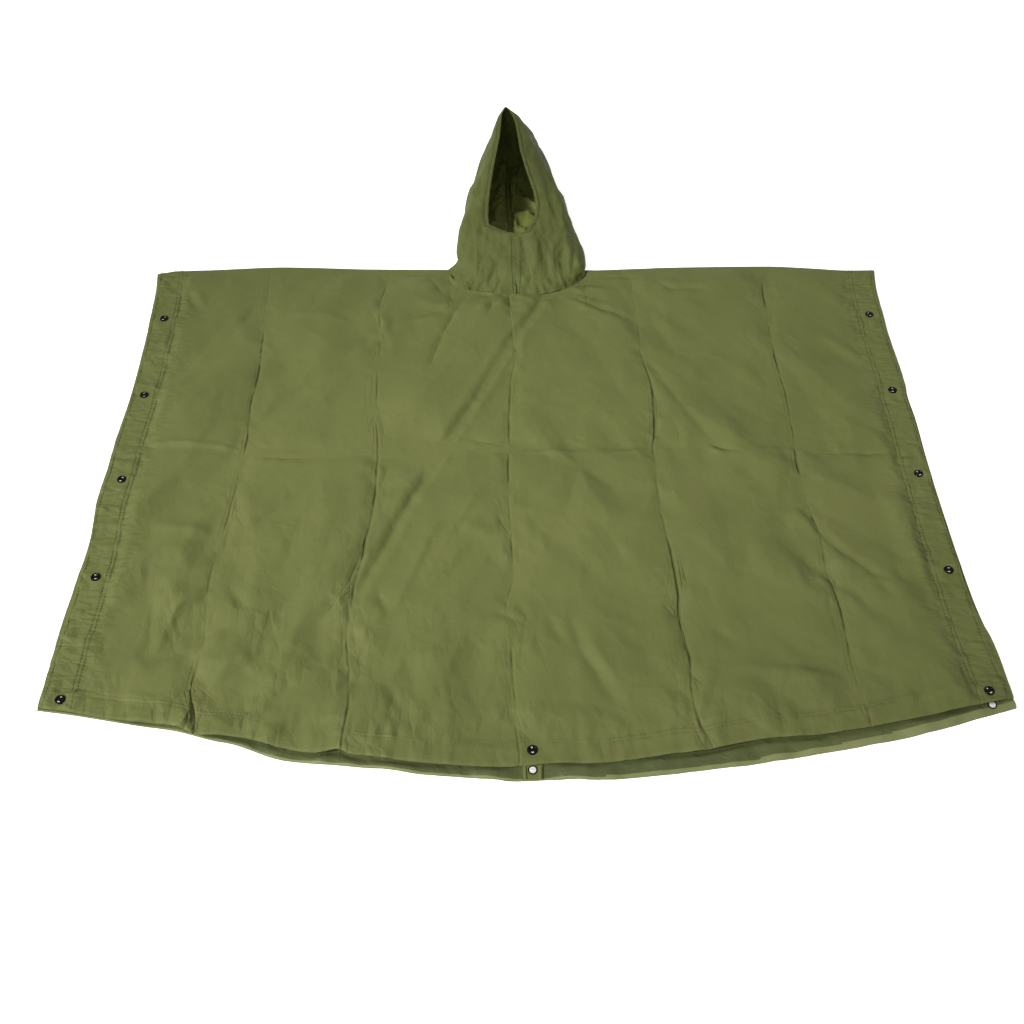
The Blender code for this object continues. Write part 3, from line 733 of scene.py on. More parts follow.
# The strip beyond the front's hem waves and puckers, but lies flat under the tab and the corner studs
beyond_front = back_down - along_edge(FRONT_HEM_EDGE, back_x)
loose_strip = smooth(beyond_front, -0.002, 0.009) * smooth(np.abs(back_x - HEM_STUD_X), 0.020, 0.034)
for corner_stud in ("snap_socket_left_5", "snap_socket_right_5"):
    low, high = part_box(corner_stud)
    stud_down = FOLD_Y - 0.5 * (low[1] + high[1])
    loose_strip *= smooth(np.hypot(back_x - 0.5 * (low[0] + high[0]), back_down - stud_down), 0.009, 0.022)
strip_wave = np.clip(0.30 + 1.1 * crumple(back_x, 0.6 * back_down, STRIP_WAVE_SIZE, 11.0), 0.0, 1.3)
strip_facets = 0.5 + facets(back_x, 0.6 * back_down, STRIP_FACET_PITCH, 12)
back_loose = loose_strip * (STRIP_WAVE * strip_wave + STRIP_FACETS * strip_facets)
back_roll = BACK_ROLL * (1.0 - smooth(back_hem_gap, 0.0, BACK_ROLL_WIDTH))
back_top = back_wall + back_loose - np.minimum(back_roll, 0.8 * back_wall)
back_under = np.maximum(lowest_near(back_top - back_wall), 0.0)
back_flat = np.stack([back_x, back_down], axis=-1)
body_back = cloth_shell(
    "back_panel",
    world_points(back_x, back_down, back_top),
    world_points(back_x[::2, ::2], back_down[::2, ::2], back_under),
    back_flat,
    outer_taffeta,
)
# Its upper face is the proofed side, darker as painted shade, apart from the side hems and the band
# painted pale as painted light
body_back.data.materials.append(shaded_proofed_side)
body_back.data.materials.append(lit_turned_edge_taffeta)
in_lit_band = back_hem_gap < along_edge(LIT_EDGE_BAND, back_x)
shows_shaded_proofing = back_side_gap > 0.4 * SIDE_HEM
upper_finish = np.where(in_lit_band, 2, np.where(shows_shaded_proofing, 1, 0))[:-1, :-1]
finishes = np.zeros(len(body_back.data.polygons), np.int32)
finishes[: upper_finish.size] = upper_finish.ravel()
body_back.data.polygons.foreach_set("material_index", finishes)
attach(body_back, "root")
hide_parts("body_back")


# -------- front panel
# The front is the same taffeta, folded over from the back at the shoulders and laid on it. Five upright
# creases and one level one are left from packing, finer folds cross them, and the stitched hems pucker.

# The mesh's steps, finer where it has more form, and how far the finest ones reach from a crease
PANEL_STEP = 0.0057
NECK_STEP = 0.0038
NECK_CORNER_STEP = 0.0018
HEM_STEP = 0.0036
HEM_ROLL_STEP = 0.0016
CREASE_STEP = 0.0014
CREASE_REACH = 0.0038
LEVEL_CREASE_STEP = 0.0024
LEVEL_CREASE_REACH = 0.018
MIDDLE_CREASE_DOWN = 0.470

# Height of the inner face: on the back panel, on the side hems with their studs, and at the neck seam
REST_HEIGHT = 0.0024
STUD_SEAT = 0.0042
HEM_SEAT = 0.0031
NECK_HEIGHT = 0.0040
# The wall, the roll of the hems' edge and the rounding of the shoulder fold
FRONT_WALL = 0.0012
HEM_ROLL = 0.0012
FOLD_ROUNDING = 0.008
FOLD_EDGE_HEIGHT = 0.0009
# The lowest height of the inner face, and by the shoulder fold, where the cloth turns over to the back
LOWEST_UNDER = 0.0021
FOLD_UNDER = 0.0002
FOLD_UNDER_REACH = 0.006
# The small bumps along the side edges
EDGE_BUMPS = 0.0012
EDGE_BUMP_SIZE = 0.040
# How far the outlines of the relief round the neck hole grow with the distance from it
NECK_GROWTH = 0.10

# The packing creases: the waver of their line, the pinch, the sag on either side of it (and of the level
# crease), the lip beside it, and the gathers and crushed cloth round it
CREASE_WAVER = 0.0013
PINCH_SHARE = 0.50
PINCH_HALF_WIDTH = 0.0027
CREASE_SAG = 0.0011
LEVEL_SAG = 0.0010
CREASE_FLANK = 0.028
LIP_SHARE = 0.45
LIP_PLACE = 0.0050
LIP_WIDTH = 0.0030
LIP_SIDES = (-1, 1, 1, -1, -1)
GATHER_HEIGHT = 0.0023
GATHER_SIZE = 0.018
GATHER_REACH = 0.015
CRUSHED_REACH = 0.036

# Relief between the placed folds: the loft of the loose cloth and its waves (share, length and random
# number), then crumples and facets (height and length). The grain of the facets slants outwards.
LOFT = 0.0044
LOFT_WAVES = ((0.9, 0.150, 21.0), (0.6, 0.070, 22.0))
VALLEYS = (0.0026, 0.120)
LARGE_FACETS = (0.0086, 0.078)
SMALL_FACETS = (0.0074, 0.036)
KNOT_FACETS = (0.0048, 0.016)
NECK_FACETS = (0.0090, 0.020)
GRAIN_SLANT = 0.55

# Strength of the placed folds, and the relief of the hems: what the stitch rows draw in, the rumples of the
# side hems and the tucks of the lower one
FOLD_STRENGTH = 1.9
LEVEL_STRENGTH = 1.6
SIDE_ROW_SINK = 0.0005
SIDE_ROW_WIDTH = 0.0030
HEM_ROW_SINK = 0.00045
HEM_ROW_WIDTH = 0.0024
SIDE_RUMPLES = 0.0038
SIDE_PUFF = 0.0006
HEM_TUCKS = 0.0022

# The studs: in from the side edge, down from the shoulder fold, and the hem's one up from its edge
STUD_INSET = 0.028
STUD_DOWN = (0.143, 0.342, 0.536, 0.733, 0.946)
HEM_STUD_ABOVE = 0.022

# How far the hem stands off the back panel, in mm, at a place across in mm
HEM_LIFT = (
    (-710, 0), (-560, 1), (-470, 5), (-400, 3), (-330, 4), (-250, 9), (-120, 5), (-30, 1.2),
    (40, 1.2), (140, 2.5), (250, 9.5), (340, 8), (480, 6), (600, 3.5), (710, 1),
)
HEM_LIFT_REACH = 0.075

# Packing creases, from the shoulder fold to the hem: places across (mm) at a distance down (mm)
PACK_CREASES = (
    (
        (0, -487), (50, -485), (150, -480), (250, -473), (300, -472), (360, -476), (420, -473),
        (480, -473), (520, -476), (580, -478), (660, -485), (755, -490), (860, -483), (930, -488),
        (975, -475), (1060, -468),
    ),
    (
        (0, -253), (60, -256), (120, -264), (155, -261), (200, -256), (280, -257), (400, -252), (475, -245),
        (600, -244), (690, -254), (760, -264), (850, -268), (900, -262), (970, -256), (1060, -263),
    ),
    (
        (0, -14), (120, -15), (200, -10), (260, -8), (300, -14), (380, -18), (475, -20), (600, -22),
        (670, -18), (750, -18), (800, -29), (830, -12), (870, -20), (950, -17), (1060, -11),
    ),
    (
        (0, 222), (190, 227), (250, 226), (330, 239), (440, 234), (470, 227), (500, 228), (570, 226),
        (650, 231), (710, 237), (780, 239), (820, 237), (885, 244), (950, 241), (1030, 251), (1060, 256),
    ),
    (
        (0, 482), (130, 477), (200, 474), (300, 475), (350, 478), (450, 474), (500, 470), (580, 470),
        (660, 480), (730, 478), (800, 486), (900, 484), (930, 485), (980, 489), (1060, 489),
    ),
)
# How deep each crease is pinched, in mm, at a distance down in mm
PINCH_DEPTHS = (
    (
        (0, 0.5), (150, 1.1), (240, 2.2), (400, 2.5), (560, 2.3), (660, 1.6), (760, 1.2), (860, 1.5),
        (950, 2.6), (1060, 1.6),
    ),
    (
        (0, 0.7), (100, 1.4), (155, 0.9), (250, 1.2), (400, 1.5), (475, 2.3), (600, 1.9), (700, 2.2),
        (800, 1.7), (900, 2.1), (1060, 2),
    ),
    (
        (0, 0.2), (120, 0.9), (200, 1.5), (300, 1.4), (475, 2.5), (600, 2.1), (700, 1.6), (800, 1.2),
        (870, 1.8), (950, 2.8), (1060, 1.8),
    ),
    (
        (0, 0.4), (200, 1.4), (300, 1.6), (380, 2.8), (450, 2.3), (500, 1.6), (570, 1.9), (700, 1.7),
        (850, 2.4), (950, 2), (1020, 3), (1060, 2.4),
    ),
    (
        (0, 0.5), (130, 2), (200, 2.6), (300, 2.1), (450, 2.3), (580, 2.2), (700, 1.7), (850, 1.9),
        (980, 2.4), (1060, 1.4),
    ),
)

# Folds listed one by one: half width, height and lean, then points across and down, all but the lean in mm.
# The first list holds the long ones that give the panel its form: first the drag fold that runs down from
# the neck, with a lip on each side of it.
LONG_FOLDS = (
    (
        6.8, -2.9, 0.3, (70, 50), (45, 95), (30, 130), (0, 185), (-20, 220), (-55, 300), (-100, 400),
        (-130, 460), (-165, 545), (-190, 600), (-210, 650), (-235, 710), (-268, 790),
    ),
    (
        7, 1.2, 0, (84, 56), (58, 104), (43, 137), (14, 191), (-6, 226), (-41, 306), (-86, 406),
        (-116, 466), (-151, 551), (-176, 606), (-196, 656), (-221, 716), (-254, 796),
    ),
    (
        7, 0.7, 0, (55, 44), (31, 87), (16, 123), (-14, 179), (-34, 214), (-69, 294), (-114, 394),
        (-144, 454), (-179, 539), (-204, 594), (-224, 644), (-249, 704), (-282, 784),
    ),
    (13, 1.7, 0, (-60, 560), (-85, 590), (-110, 650), (-135, 710), (-155, 770)),
    (7, -1.3, 0.2, (-62, 585), (-92, 625), (-118, 680), (-142, 735), (-160, 775)),
    (8, 1.6, -0.3, (-140, 635), (-170, 720), (-205, 815)),
    (7, -1.9, 0.2, (230, 250), (265, 330), (300, 400), (335, 468)),
    (12, -1.5, 0, (365, 495), (375, 510), (400, 550), (435, 610)),
    (5, -2.5, 0.3, (462, 620), (485, 665), (510, 700), (550, 740), (585, 758)),
    (7.5, -1.9, 0, (590, 715), (592, 762)),
    (5, -1.8, 0, (548, 748), (575, 788)),
    (18, -1.9, 0, (578, 505), (590, 620), (600, 700), (630, 800), (660, 885)),
    (14, 1.7, 0.2, (607, 560), (618, 660), (628, 740), (648, 830)),
    (7, -1.6, 0.2, (-325, 505), (-365, 560), (-400, 600), (-450, 650), (-490, 682)),
    (9, 1.8, 0, (-612, 648), (-595, 628), (-545, 640), (-486, 656)),
    (7, 2.6, 0.2, (-486, 752), (-512, 768), (-530, 785), (-542, 820), (-552, 865), (-575, 874)),
    (7, -2, 0, (-500, 770), (-520, 800), (-528, 840), (-545, 885)),
    (7, -1.8, 0.1, (-475, 735), (-415, 815)),
    (9, 1.6, 0, (-448, 135), (-385, 138), (-325, 152)),
    (8, -1.5, 0, (-255, 180), (-290, 212), (-330, 240)),
    (8, 1.5, 0, (-248, 198), (-285, 228), (-322, 255)),
    (10, 1.4, 0, (-65, 625), (-90, 646), (-26, 662)),
    (8, 1.3, 0, (-38, 800), (-5, 812)),
    (8, -1.7, 0, (-535, 258), (-570, 288), (-608, 325)),
    (11, -1.6, 0, (-480, 318), (-515, 350), (-560, 380)),
    (8, 1.4, 0, (-545, 330), (-585, 365), (-625, 405)),
    (6, -1.9, 0.2, (-232, 752), (-207, 815)),
    (5, -1.5, 0, (-235, 805), (-228, 865)),
    (7, -1.7, 0, (-214, 915), (-172, 980)),
    (8, -1.8, 0.1, (66, 800), (85, 870), (120, 940), (138, 985)),
    (7, 1.4, 0, (88, 825), (108, 880), (142, 940)),
    (6, -1.4, 0, (28, 800), (62, 865)),
    (8, -1.4, 0, (8, 960), (55, 958), (102, 966), (145, 985)),
    (8, -1.8, 0.2, (496, 742), (530, 800), (558, 828)),
    (9, 1.7, 0, (280, 910), (330, 905), (400, 915), (470, 926)),
    (9, -1.5, 0, (350, 892), (410, 902), (465, 912)),
    (8, -1.6, 0, (498, 905), (555, 945)),
    (8, 1.3, 0, (505, 960), (580, 953), (665, 940)),
    (7, -1.5, 0, (285, 833), (322, 865)),
    (7, -1.5, 0, (-365, 848), (-330, 830), (-284, 812)),
    (7, 1.5, 0, (-435, 862), (-378, 925)),
    (7, -1.8, 0.1, (-342, 915), (-372, 975)),
    (7, -1.3, 0, (-432, 952), (-365, 938)),
    (7, 1.6, 0, (-276, 935), (-328, 975)),
    (6, 0.9, 0, (-640, 930), (-565, 942), (-490, 962)),
    (6, -0.9, 0, (-640, 944), (-570, 955), (-498, 975)),
    (8, -1.5, 0, (486, 180), (510, 225), (535, 278)),
    (9, -1.3, 0, (545, 205), (595, 255), (645, 305)),
    (7, 1.3, 0, (560, 190), (605, 235), (650, 280)),
    (6, -1.2, 0, (612, 212), (640, 255)),
    (7, -1.5, 0, (-648, 52), (-625, 95), (-598, 135)),
    (6, 1.1, 0, (-630, 48), (-612, 85), (-590, 122)),
    (6, -1.3, 0, (-488, 95), (-528, 175)),
    (6, -1.3, 0, (-612, 465), (-668, 525)),
    (5, -1.2, 0, (-654, 812), (-620, 822), (-586, 842)),
)
# Short branches, knots and puckers that start at the packing creases
CREASE_BRANCHES = (
    (5, -1.6, 0, (-475, 555), (-467, 610), (-450, 645)),
    (5, -1.3, 0, (-488, 762), (-512, 802)),
    (5, -1.7, 0, (-486, 922), (-503, 942)),
    (5, -1.7, 0, (-484, 922), (-448, 955)),
    (6, -2.6, 0.2, (-487, 935), (-478, 972), (-468, 1015)),
    (4, 1.5, 0, (-477, 505), (-455, 520)),
    (4.5, 1.6, 0, (-266, 140), (-262, 168)),
    (4.5, 1.5, 0, (-259, 188), (-251, 214)),
    (4, 1.3, 0, (-262, 265), (-252, 295)),
    (4, 1.4, 0, (-262, 325), (-250, 352)),
    (4.5, -1.7, 0, (-252, 385), (-240, 420), (-232, 466)),
    (4.5, -1.6, 0, (-255, 385), (-262, 420), (-257, 458)),
    (7, -1, 0, (-276, 275), (-274, 425)),
    (5.5, -2.4, 0.3, (-252, 680), (-275, 755), (-300, 800), (-316, 822)),
    (4.5, 1.9, 0, (-258, 725), (-285, 775), (-308, 818)),
    (5, -1.9, 0, (-272, 770), (-268, 850), (-262, 905)),
    (5, 1.5, 0, (-282, 880), (-275, 935), (-266, 1000)),
    (6, 2.6, 0, (-266, 985), (-263, 1042)),
    (4.5, -1.5, 0, (-44, 612), (-16, 672)),
    (7, 1.6, -0.3, (4, 130), (8, 200), (6, 262), (0, 310)),
    (7, -1.8, 0, (-16, 955), (-8, 1005), (8, 1020)),
    (6.5, -2.2, 0.2, (240, 320), (243, 380), (236, 445)),
    (5, 1.7, 0, (260, 388), (245, 425), (230, 460)),
    (4.5, 1.3, 0, (268, 395), (288, 440), (284, 475), (262, 495)),
    (4.5, -1.2, 0, (262, 398), (276, 440), (272, 470)),
    (4.5, -1.7, 0, (248, 702), (256, 762)),
    (4.5, -1.6, 0, (210, 788), (240, 826)),
    (5, -2, 0, (239, 812), (238, 885)),
    (6, 2.1, 0, (236, 885), (258, 888)),
    (5, -1.9, 0, (236, 905), (260, 938)),
    (5, 2, 0.2, (290, 900), (262, 935), (246, 975), (243, 1005)),
    (4.5, -2.7, 0, (232, 975), (240, 1010), (252, 1044)),
    (4.5, -2.3, 0, (246, 992), (256, 1020), (262, 1046)),
    (5, 2.4, 0, (241, 985), (250, 1040)),
    (6.5, -2, 0, (482, 108), (474, 160), (458, 212)),
    (5, -1.5, 0, (432, 92), (456, 112), (480, 138)),
    (5, 1.6, 0, (492, 130), (486, 215)),
    (5, -1.5, 0, (488, 735), (486, 805)),
    (5.5, 2, 0, (476, 950), (488, 975), (503, 1000)),
    (5, -1.9, 0, (503, 955), (488, 985), (476, 1005)),
    (4, 1.1, 0, (150, 388), (154, 412)),
    (4, 1, 0, (140, 402), (166, 398)),
    (6, -1.5, 0, (455, 605), (478, 618)),
)
# The level crease, in stretches that stand up or sink in turn
LEVEL_CREASE = (
    (4.5, 1.9, 0, (-662, 455), (-600, 458), (-535, 463), (-470, 473)),
    (4.5, -1.7, 0, (-466, 487), (-400, 491), (-315, 489)),
    (4.5, 1.5, 0, (-318, 483), (-255, 475), (-245, 474)),
    (5, 1, 0, (-245, 474), (-170, 466), (-110, 462)),
    (5, -1.9, 0, (-110, 447), (-60, 458), (-16, 469)),
    (4.5, 1.2, 0, (-16, 478), (50, 482), (130, 487)),
    (4.5, 1, 0, (130, 486), (190, 482), (228, 474)),
    (4.5, -1.7, 0, (318, 462), (345, 474), (378, 487)),
    (4.5, 1.7, 0, (315, 470), (340, 483), (372, 496)),
    (4.5, 0.9, 0, (380, 486), (430, 482), (474, 480)),
    (5, -2, 0, (482, 487), (560, 489), (600, 492), (655, 494)),
)
# Gathers and drag lines that spread from the neck seam
NECK_GATHERS = (
    (6, -1.9, 0, (-104, 60), (-122, 88), (-138, 108)),
    (5.5, -1.8, 0, (-94, 88), (-122, 132), (-145, 200), (-168, 288)),
    (8, 2.1, 0, (-112, 98), (-142, 112), (-208, 104)),
    (8, 1.9, 0, (-130, 138), (-165, 146), (-225, 156)),
    (6, -1.4, 0, (-128, 124), (-180, 134), (-240, 158)),
    (4.5, -1.2, 0, (-178, 26), (-158, 52), (-138, 84)),
    (6, -1.9, 0, (96, 62), (135, 50), (186, 44)),
    (6, -1.8, 0, (98, 72), (140, 88), (184, 106)),
    (6.5, -1.9, 0, (90, 80), (150, 116), (232, 158)),
    (7, 1.7, 0, (102, 62), (150, 68), (205, 74)),
    (7, 1.9, 0, (92, 90), (135, 124), (196, 158)),
    (7, 1.7, 0, (2, 84), (28, 98), (38, 112)),
    (6, 1.8, 0, (-60, 82), (-64, 108), (-76, 140)),
    (6, 1.9, 0, (-30, 84), (-34, 118)),
    (5, -1.6, 0, (-46, 84), (-50, 118), (-62, 150)),
    (5, -1.3, 0, (-14, 84), (-14, 120)),
    (6, 1.7, 0, (52, 84), (62, 108), (66, 132)),
    (5, 1.4, 0, (272, 22), (300, 50), (385, 54)),
    (5, -1.3, 0, (266, 36), (300, 64), (380, 68)),
    (6, 1.3, 0, (-132, 18), (-175, 6), (-225, 4)),
    (5, -1.3, 0, (-134, 32), (-176, 20), (-232, 20)),
    (6, 1.4, 0, (136, 22), (190, 14), (250, 16)),
    (5, -1.2, 0, (136, 34), (196, 28), (262, 32)),
)
# Puckers across the side hems. Down (mm), reach into the body (mm) and how far its inner end slips down
LEFT_PUCKERS = (
    (15, 12, 2), (52, 8, -4), (90, 20, 6), (128, 10, 3), (180, 24, 8), (220, 12, 0), (250, 34, 48),
    (300, 8, 4), (340, 26, 10), (380, 14, 0), (400, 22, -6), (425, 12, 6), (455, 30, 2), (470, 16, -6),
    (490, 26, 12),
    (520, 18, 6), (565, 12, -4), (580, 22, 6), (612, 10, 2), (640, 40, 2), (655, 18, 12), (690, 38, -10),
    (712, 44, -12), (750, 14, 4), (780, 26, 8), (810, 18, -4), (830, 24, 10), (860, 30, -6), (890, 20, 8),
    (915, 26, 4), (940, 10, 0),
)
RIGHT_PUCKERS = (
    (22, 14, 4), (58, 26, 10), (84, 34, 12), (118, 12, -4), (160, 22, 8), (196, 28, 14), (232, 10, 2),
    (268, 24, 6), (310, 16, -6), (356, 30, 10), (388, 12, 2), (420, 26, 8), (448, 14, -6), (470, 22, 4),
    (500, 32, 10), (556, 12, -4), (588, 24, 8), (620, 18, 2), (664, 34, 12), (700, 12, 0), (756, 26, -8),
    (790, 36, 8), (826, 14, 2), (858, 28, 10), (884, 20, -6), (918, 30, 8),
)
PUCKER_HALF_WIDTH_MM = 6.2
PUCKER_HEIGHT_MM = 2.3
PUCKER_OUTER_X_MM = 702.0
PUCKER_INNER_X_MM = 652.0
# How far the front's side edges lie inside the back's, in mm, at a distance down in mm
LEFT_DRAWN_IN = ((0, 0), (240, 0), (330, 1.5), (420, 0), (640, 0), (700, 1.5), (780, 0), (1060, 0))
RIGHT_DRAWN_IN = (
    (0, 0), (290, 0), (350, 3.5), (480, 2.5), (600, 4.5), (860, 4.5), (920, 1), (960, 0), (1060, 0),
)


def pucker_folds(puckers, side):
    """Short troughs across a side hem, which run on a little way into the single cloth."""
    for down, reach, slip in puckers:
        outer = (side * PUCKER_OUTER_X_MM, down - 0.15 * slip)
        seam = (side * PUCKER_INNER_X_MM, down)
        inner = (side * (PUCKER_INNER_X_MM - reach), down + slip)
        yield (PUCKER_HALF_WIDTH_MM, -PUCKER_HEIGHT_MM, 0.0, outer, seam, inner)


def wander(down, size, seed):
    """A random value along a line, from -1 to 1 or so, whose waves are about size long."""
    ruler = np.linspace(-0.02, 1.12, 1400)
    return np.interp(down, ruler, crumple(np.full(ruler.shape, seed), ruler, size, seed))


def pack_crease_relief(x, down, lines=None):
    """What is left of the loft near the packing creases, the height they add, and how crushed it is there."""
    share = np.ones(x.shape)
    relief = np.zeros(x.shape)
    crushed = np.zeros(x.shape)
    for number, (path, depths, lip_side) in enumerate(zip(PACK_CREASES, PINCH_DEPTHS, LIP_SIDES)):
        aside = x - along_edge(path, down) + CREASE_WAVER * wander(down, 0.035, 31.0 + number)
        share *= 1.0 - 0.40 * bell(aside, GATHER_REACH)
        uneven = 0.75 + 1.5 * wander(down, 0.060, 41.0 + number) + 0.7 * wander(down, 0.014, 51.0 + number)
        depth = along_edge(depths, down) * np.clip(uneven, 0.05, 1.9)
        worked = np.clip(0.35 + 1.5 * wander(down, 0.10, 91.0 + number), 0.0, 1.0)
        low = 0.45 + 0.55 * smooth(down, 0.45, 0.75)
        crushed = np.maximum(crushed, bell(aside, CRUSHED_REACH) * worked * low)
        # A pinched line, rounded at its bottom
        relief -= PINCH_SHARE * depth * np.exp(0.5 - np.sqrt(0.25 + 1.6 * (aside / PINCH_HALF_WIDTH) ** 2))
        relief -= CREASE_SAG * np.exp(-np.abs(aside) / CREASE_FLANK)
        lip = np.clip(0.5 + 1.3 * wander(down, 0.045, 61.0 + number), 0.0, 1.3)
        relief += LIP_SHARE * depth * lip * bell(aside - LIP_PLACE * lip_side, LIP_WIDTH)
        gathered = np.clip(0.3 + 1.8 * wander(down, 0.065, 71.0 + number), 0.0, 1.4)
        gathers = crumple(0.8 * x + 0.3 * down, down - 0.3 * x, GATHER_SIZE, 81.0 + number)
        relief += GATHER_HEIGHT * bell(aside, GATHER_REACH) * gathered * gathers
        if lines is not None:
            note_line(lines, np.ones(x.shape, bool), aside.ravel(), -depth.ravel())
    return share, relief, crushed


def creased_field(x, down, size, seed):
    """Random relief with sharp valleys where its waves cross zero, as crumpled cloth has."""
    return 0.35 - np.abs(crumple(x, down, size, seed))


def handled_parts(x, down, crushed):
    """How much each part was handled, from 0 to 1.6, and the share of the low left part, handled most."""
    patchy = smooth(crumple(x, down, 0.170, 29.0), -0.15, 0.30)
    low_left = bell(x + 0.42, 0.30) * smooth(down, 0.50, 0.85)
    worked = 0.25 + 0.75 * patchy * smooth(down, 0.1, 0.9) + 0.8 * low_left + crushed
    return np.clip(worked, 0.0, 1.6), low_left


def random_relief(x, down, worked, crushed):
    """Valleys and facets of all sizes, calmer in the middle of the lower part."""
    height, size = VALLEYS
    relief = height * creased_field(x, 0.55 * down, size, 23.0)
    right = smooth(x, -0.08, 0.16)
    calm = 1.40 - 0.85 * bell(x - 0.12, 0.26) * smooth(down, 0.62, 0.86)
    for slant, share in ((GRAIN_SLANT, 1.0 - right), (-GRAIN_SLANT, right)):
        height, pitch = LARGE_FACETS
        relief += height * share * calm * facets(x + slant * down, 0.65 * down, pitch, 101)
        height, pitch = SMALL_FACETS
        relief += height * share * calm * worked * facets(x + 0.6 * slant * down, 0.7 * down, pitch, 102)
    height, pitch = KNOT_FACETS
    return relief + height * crushed * facets(x + 0.35 * down, down - 0.2 * x, pitch, 103)


def from_side_studs(side_gap, down):
    return np.min([np.hypot(side_gap - STUD_INSET, down - place) for place in STUD_DOWN], axis=0)


def note_worked(lines, x, down, gaps, worked, low_left, crushed):
    """Notes how crushed and how puckered the cloth is, for the fine facets of its material."""
    side_gap, hem_gap = gaps
    here = smooth(crumple(x, down, 0.085, 35.0), -0.20, 0.35)
    near_hem = 1.0 - smooth(hem_gap, 0.020, 0.110)
    near_side = 1.0 - smooth(side_gap, SIDE_HEM, SIDE_HEM + 0.060)
    lines["worked"] = 0.10 * worked + 0.42 * low_left * here + 0.62 * crushed * (0.35 + 0.65 * here)
    lines["worked"] += 0.30 * near_hem * (0.4 + 0.6 * here)
    flat_at_studs = smooth(from_side_studs(side_gap, down), 0.009, 0.020)
    lines["puckered"] = (0.85 * near_side + 0.15 * near_hem) * flat_at_studs


def hem_relief(x, down, gaps, side_band):
    """Puckers and rumples of the side hems, flat at the studs, and tucks along the lower hem."""
    side_gap, hem_gap = gaps
    relief = laid_folds(x, down, [*pucker_folds(LEFT_PUCKERS, -1), *pucker_folds(RIGHT_PUCKERS, 1)])
    for row in SIDE_STITCH_ROWS:
        uneven = 1.0 + crumple(0.3 * x, down, 0.014, 25.0, 1)
        relief -= SIDE_ROW_SINK * bell(side_gap - row, SIDE_ROW_WIDTH) * uneven
    rumpled = crumple(0.30 * x, down, 0.021, 30.0) + 0.6 * crumple(x, down, 0.017, 32.0)
    rumpled += 1.2 * facets(0.35 * x, down, 0.021, 105)
    relief += (SIDE_PUFF + SIDE_RUMPLES * rumpled) * side_band * smooth(side_gap, 0.0, 0.008)
    relief *= smooth(from_side_studs(side_gap, down), 0.008, 0.016)
    for row in HEM_STITCH_ROWS:
        uneven = 1.0 + crumple(x, 0.3 * down, 0.016, 26.0, 1)
        relief -= HEM_ROW_SINK * bell(hem_gap - row, HEM_ROW_WIDTH) * uneven
    tucks = crumple(x, 0.35 * down, 0.022, 27.0) + 1.2 * facets(x, 0.30 * down, 0.019, 106)
    near_hem = 1.0 - smooth(hem_gap, 0.030, 0.070)
    return relief + HEM_TUCKS * tucks * near_hem * (1.0 - 0.7 * side_band)


def front_outer_height(x, down, lines=None):
    """Height of the front panel's outer face above the floor."""
    gaps = edge_gaps(x, down, FRONT_HEM_EDGE)
    side_gap, hem_gap = gaps
    side_band = 1.0 - smooth(side_gap, SIDE_HEM, SIDE_HEM + 0.022)
    out_of_hole = (np.abs(x) / NECK_HALF) ** NECK_SQUARENESS
    out_of_hole += (np.maximum(down, 0.0) / NECK_FRONT_DROP) ** NECK_SQUARENESS
    past_neck = NECK_GROWTH * np.maximum(out_of_hole ** (1.0 / NECK_SQUARENESS) - 1.0, 0.0)
    loft_share, pinch, crushed = pack_crease_relief(x, down, lines)
    loft_share *= 1.0 - 0.35 * bell(down - MIDDLE_CREASE_DOWN, 0.016)
    loft_share *= smooth(down, 0.0, 0.050) * smooth(past_neck, 0.0, 0.050) * smooth(hem_gap, 0.012, 0.095)
    waves = sum(share * crumple(x, down, size, seed) for share, size, seed in LOFT_WAVES)
    worked, low_left = handled_parts(x, down, crushed)
    crumples = random_relief(x, down, worked, crushed) * smooth(down, 0.0, 0.030)
    if lines is not None:
        note_worked(lines, x, down, gaps, worked, low_left, crushed)
    loose = LOFT * loft_share * (1.0 + 0.30 * waves) + crumples + pinch
    loose -= LEVEL_SAG * np.exp(-np.abs(down - 0.0035 - MIDDLE_CREASE_DOWN) / CREASE_FLANK)
    loose += FOLD_STRENGTH * laid_folds(x, down, LONG_FOLDS)
    loose += (FOLD_STRENGTH - 1.0) * laid_folds(x, down, NECK_GATHERS)
    height, pitch = NECK_FACETS
    around = np.arctan2(down + 0.02, x) * NECK_HALF
    gathers = facets(around, 0.30 * past_neck, pitch, 104) * (1.0 - smooth(past_neck, 0.010, 0.075))
    loose += height * gathers * smooth(past_neck, 0.0, 0.006) * smooth(down, 0.0, 0.02)
    for folds, strength in ((CREASE_BRANCHES, 1.0), (LEVEL_CREASE, LEVEL_STRENGTH), (NECK_GATHERS, 1.0)):
        loose += strength * laid_folds(x, down, folds, lines)
    at_stud = np.max([bell(down - place, 0.020) for place in STUD_DOWN], axis=0)
    seat = blend(HEM_SEAT, STUD_SEAT, at_stud)
    rest = blend(REST_HEIGHT, seat, side_band)
    rest = blend(NECK_HEIGHT, rest, smooth(past_neck, 0.0, 0.050))
    lift = along_edge(HEM_LIFT, x) * bell(hem_gap, HEM_LIFT_REACH) * (1.0 - side_band)
    height = rest + loose * (1.0 - side_band) + hem_relief(x, down, gaps, side_band)
    height = np.maximum(height, REST_HEIGHT - 0.0002) + lift
    from_stud = np.hypot(x - HEM_STUD_X, down - (FRONT_LENGTH - HEM_STUD_ABOVE))
    height = blend(height, STUD_SEAT, 1.0 - smooth(from_stud, 0.009, 0.030))
    height += blend(FRONT_WALL, HEM_WALL, turned_hem(side_gap, hem_gap))
    return height - HEM_ROLL * (1.0 - smooth(np.minimum(side_gap, hem_gap), -0.0005, 0.0042))


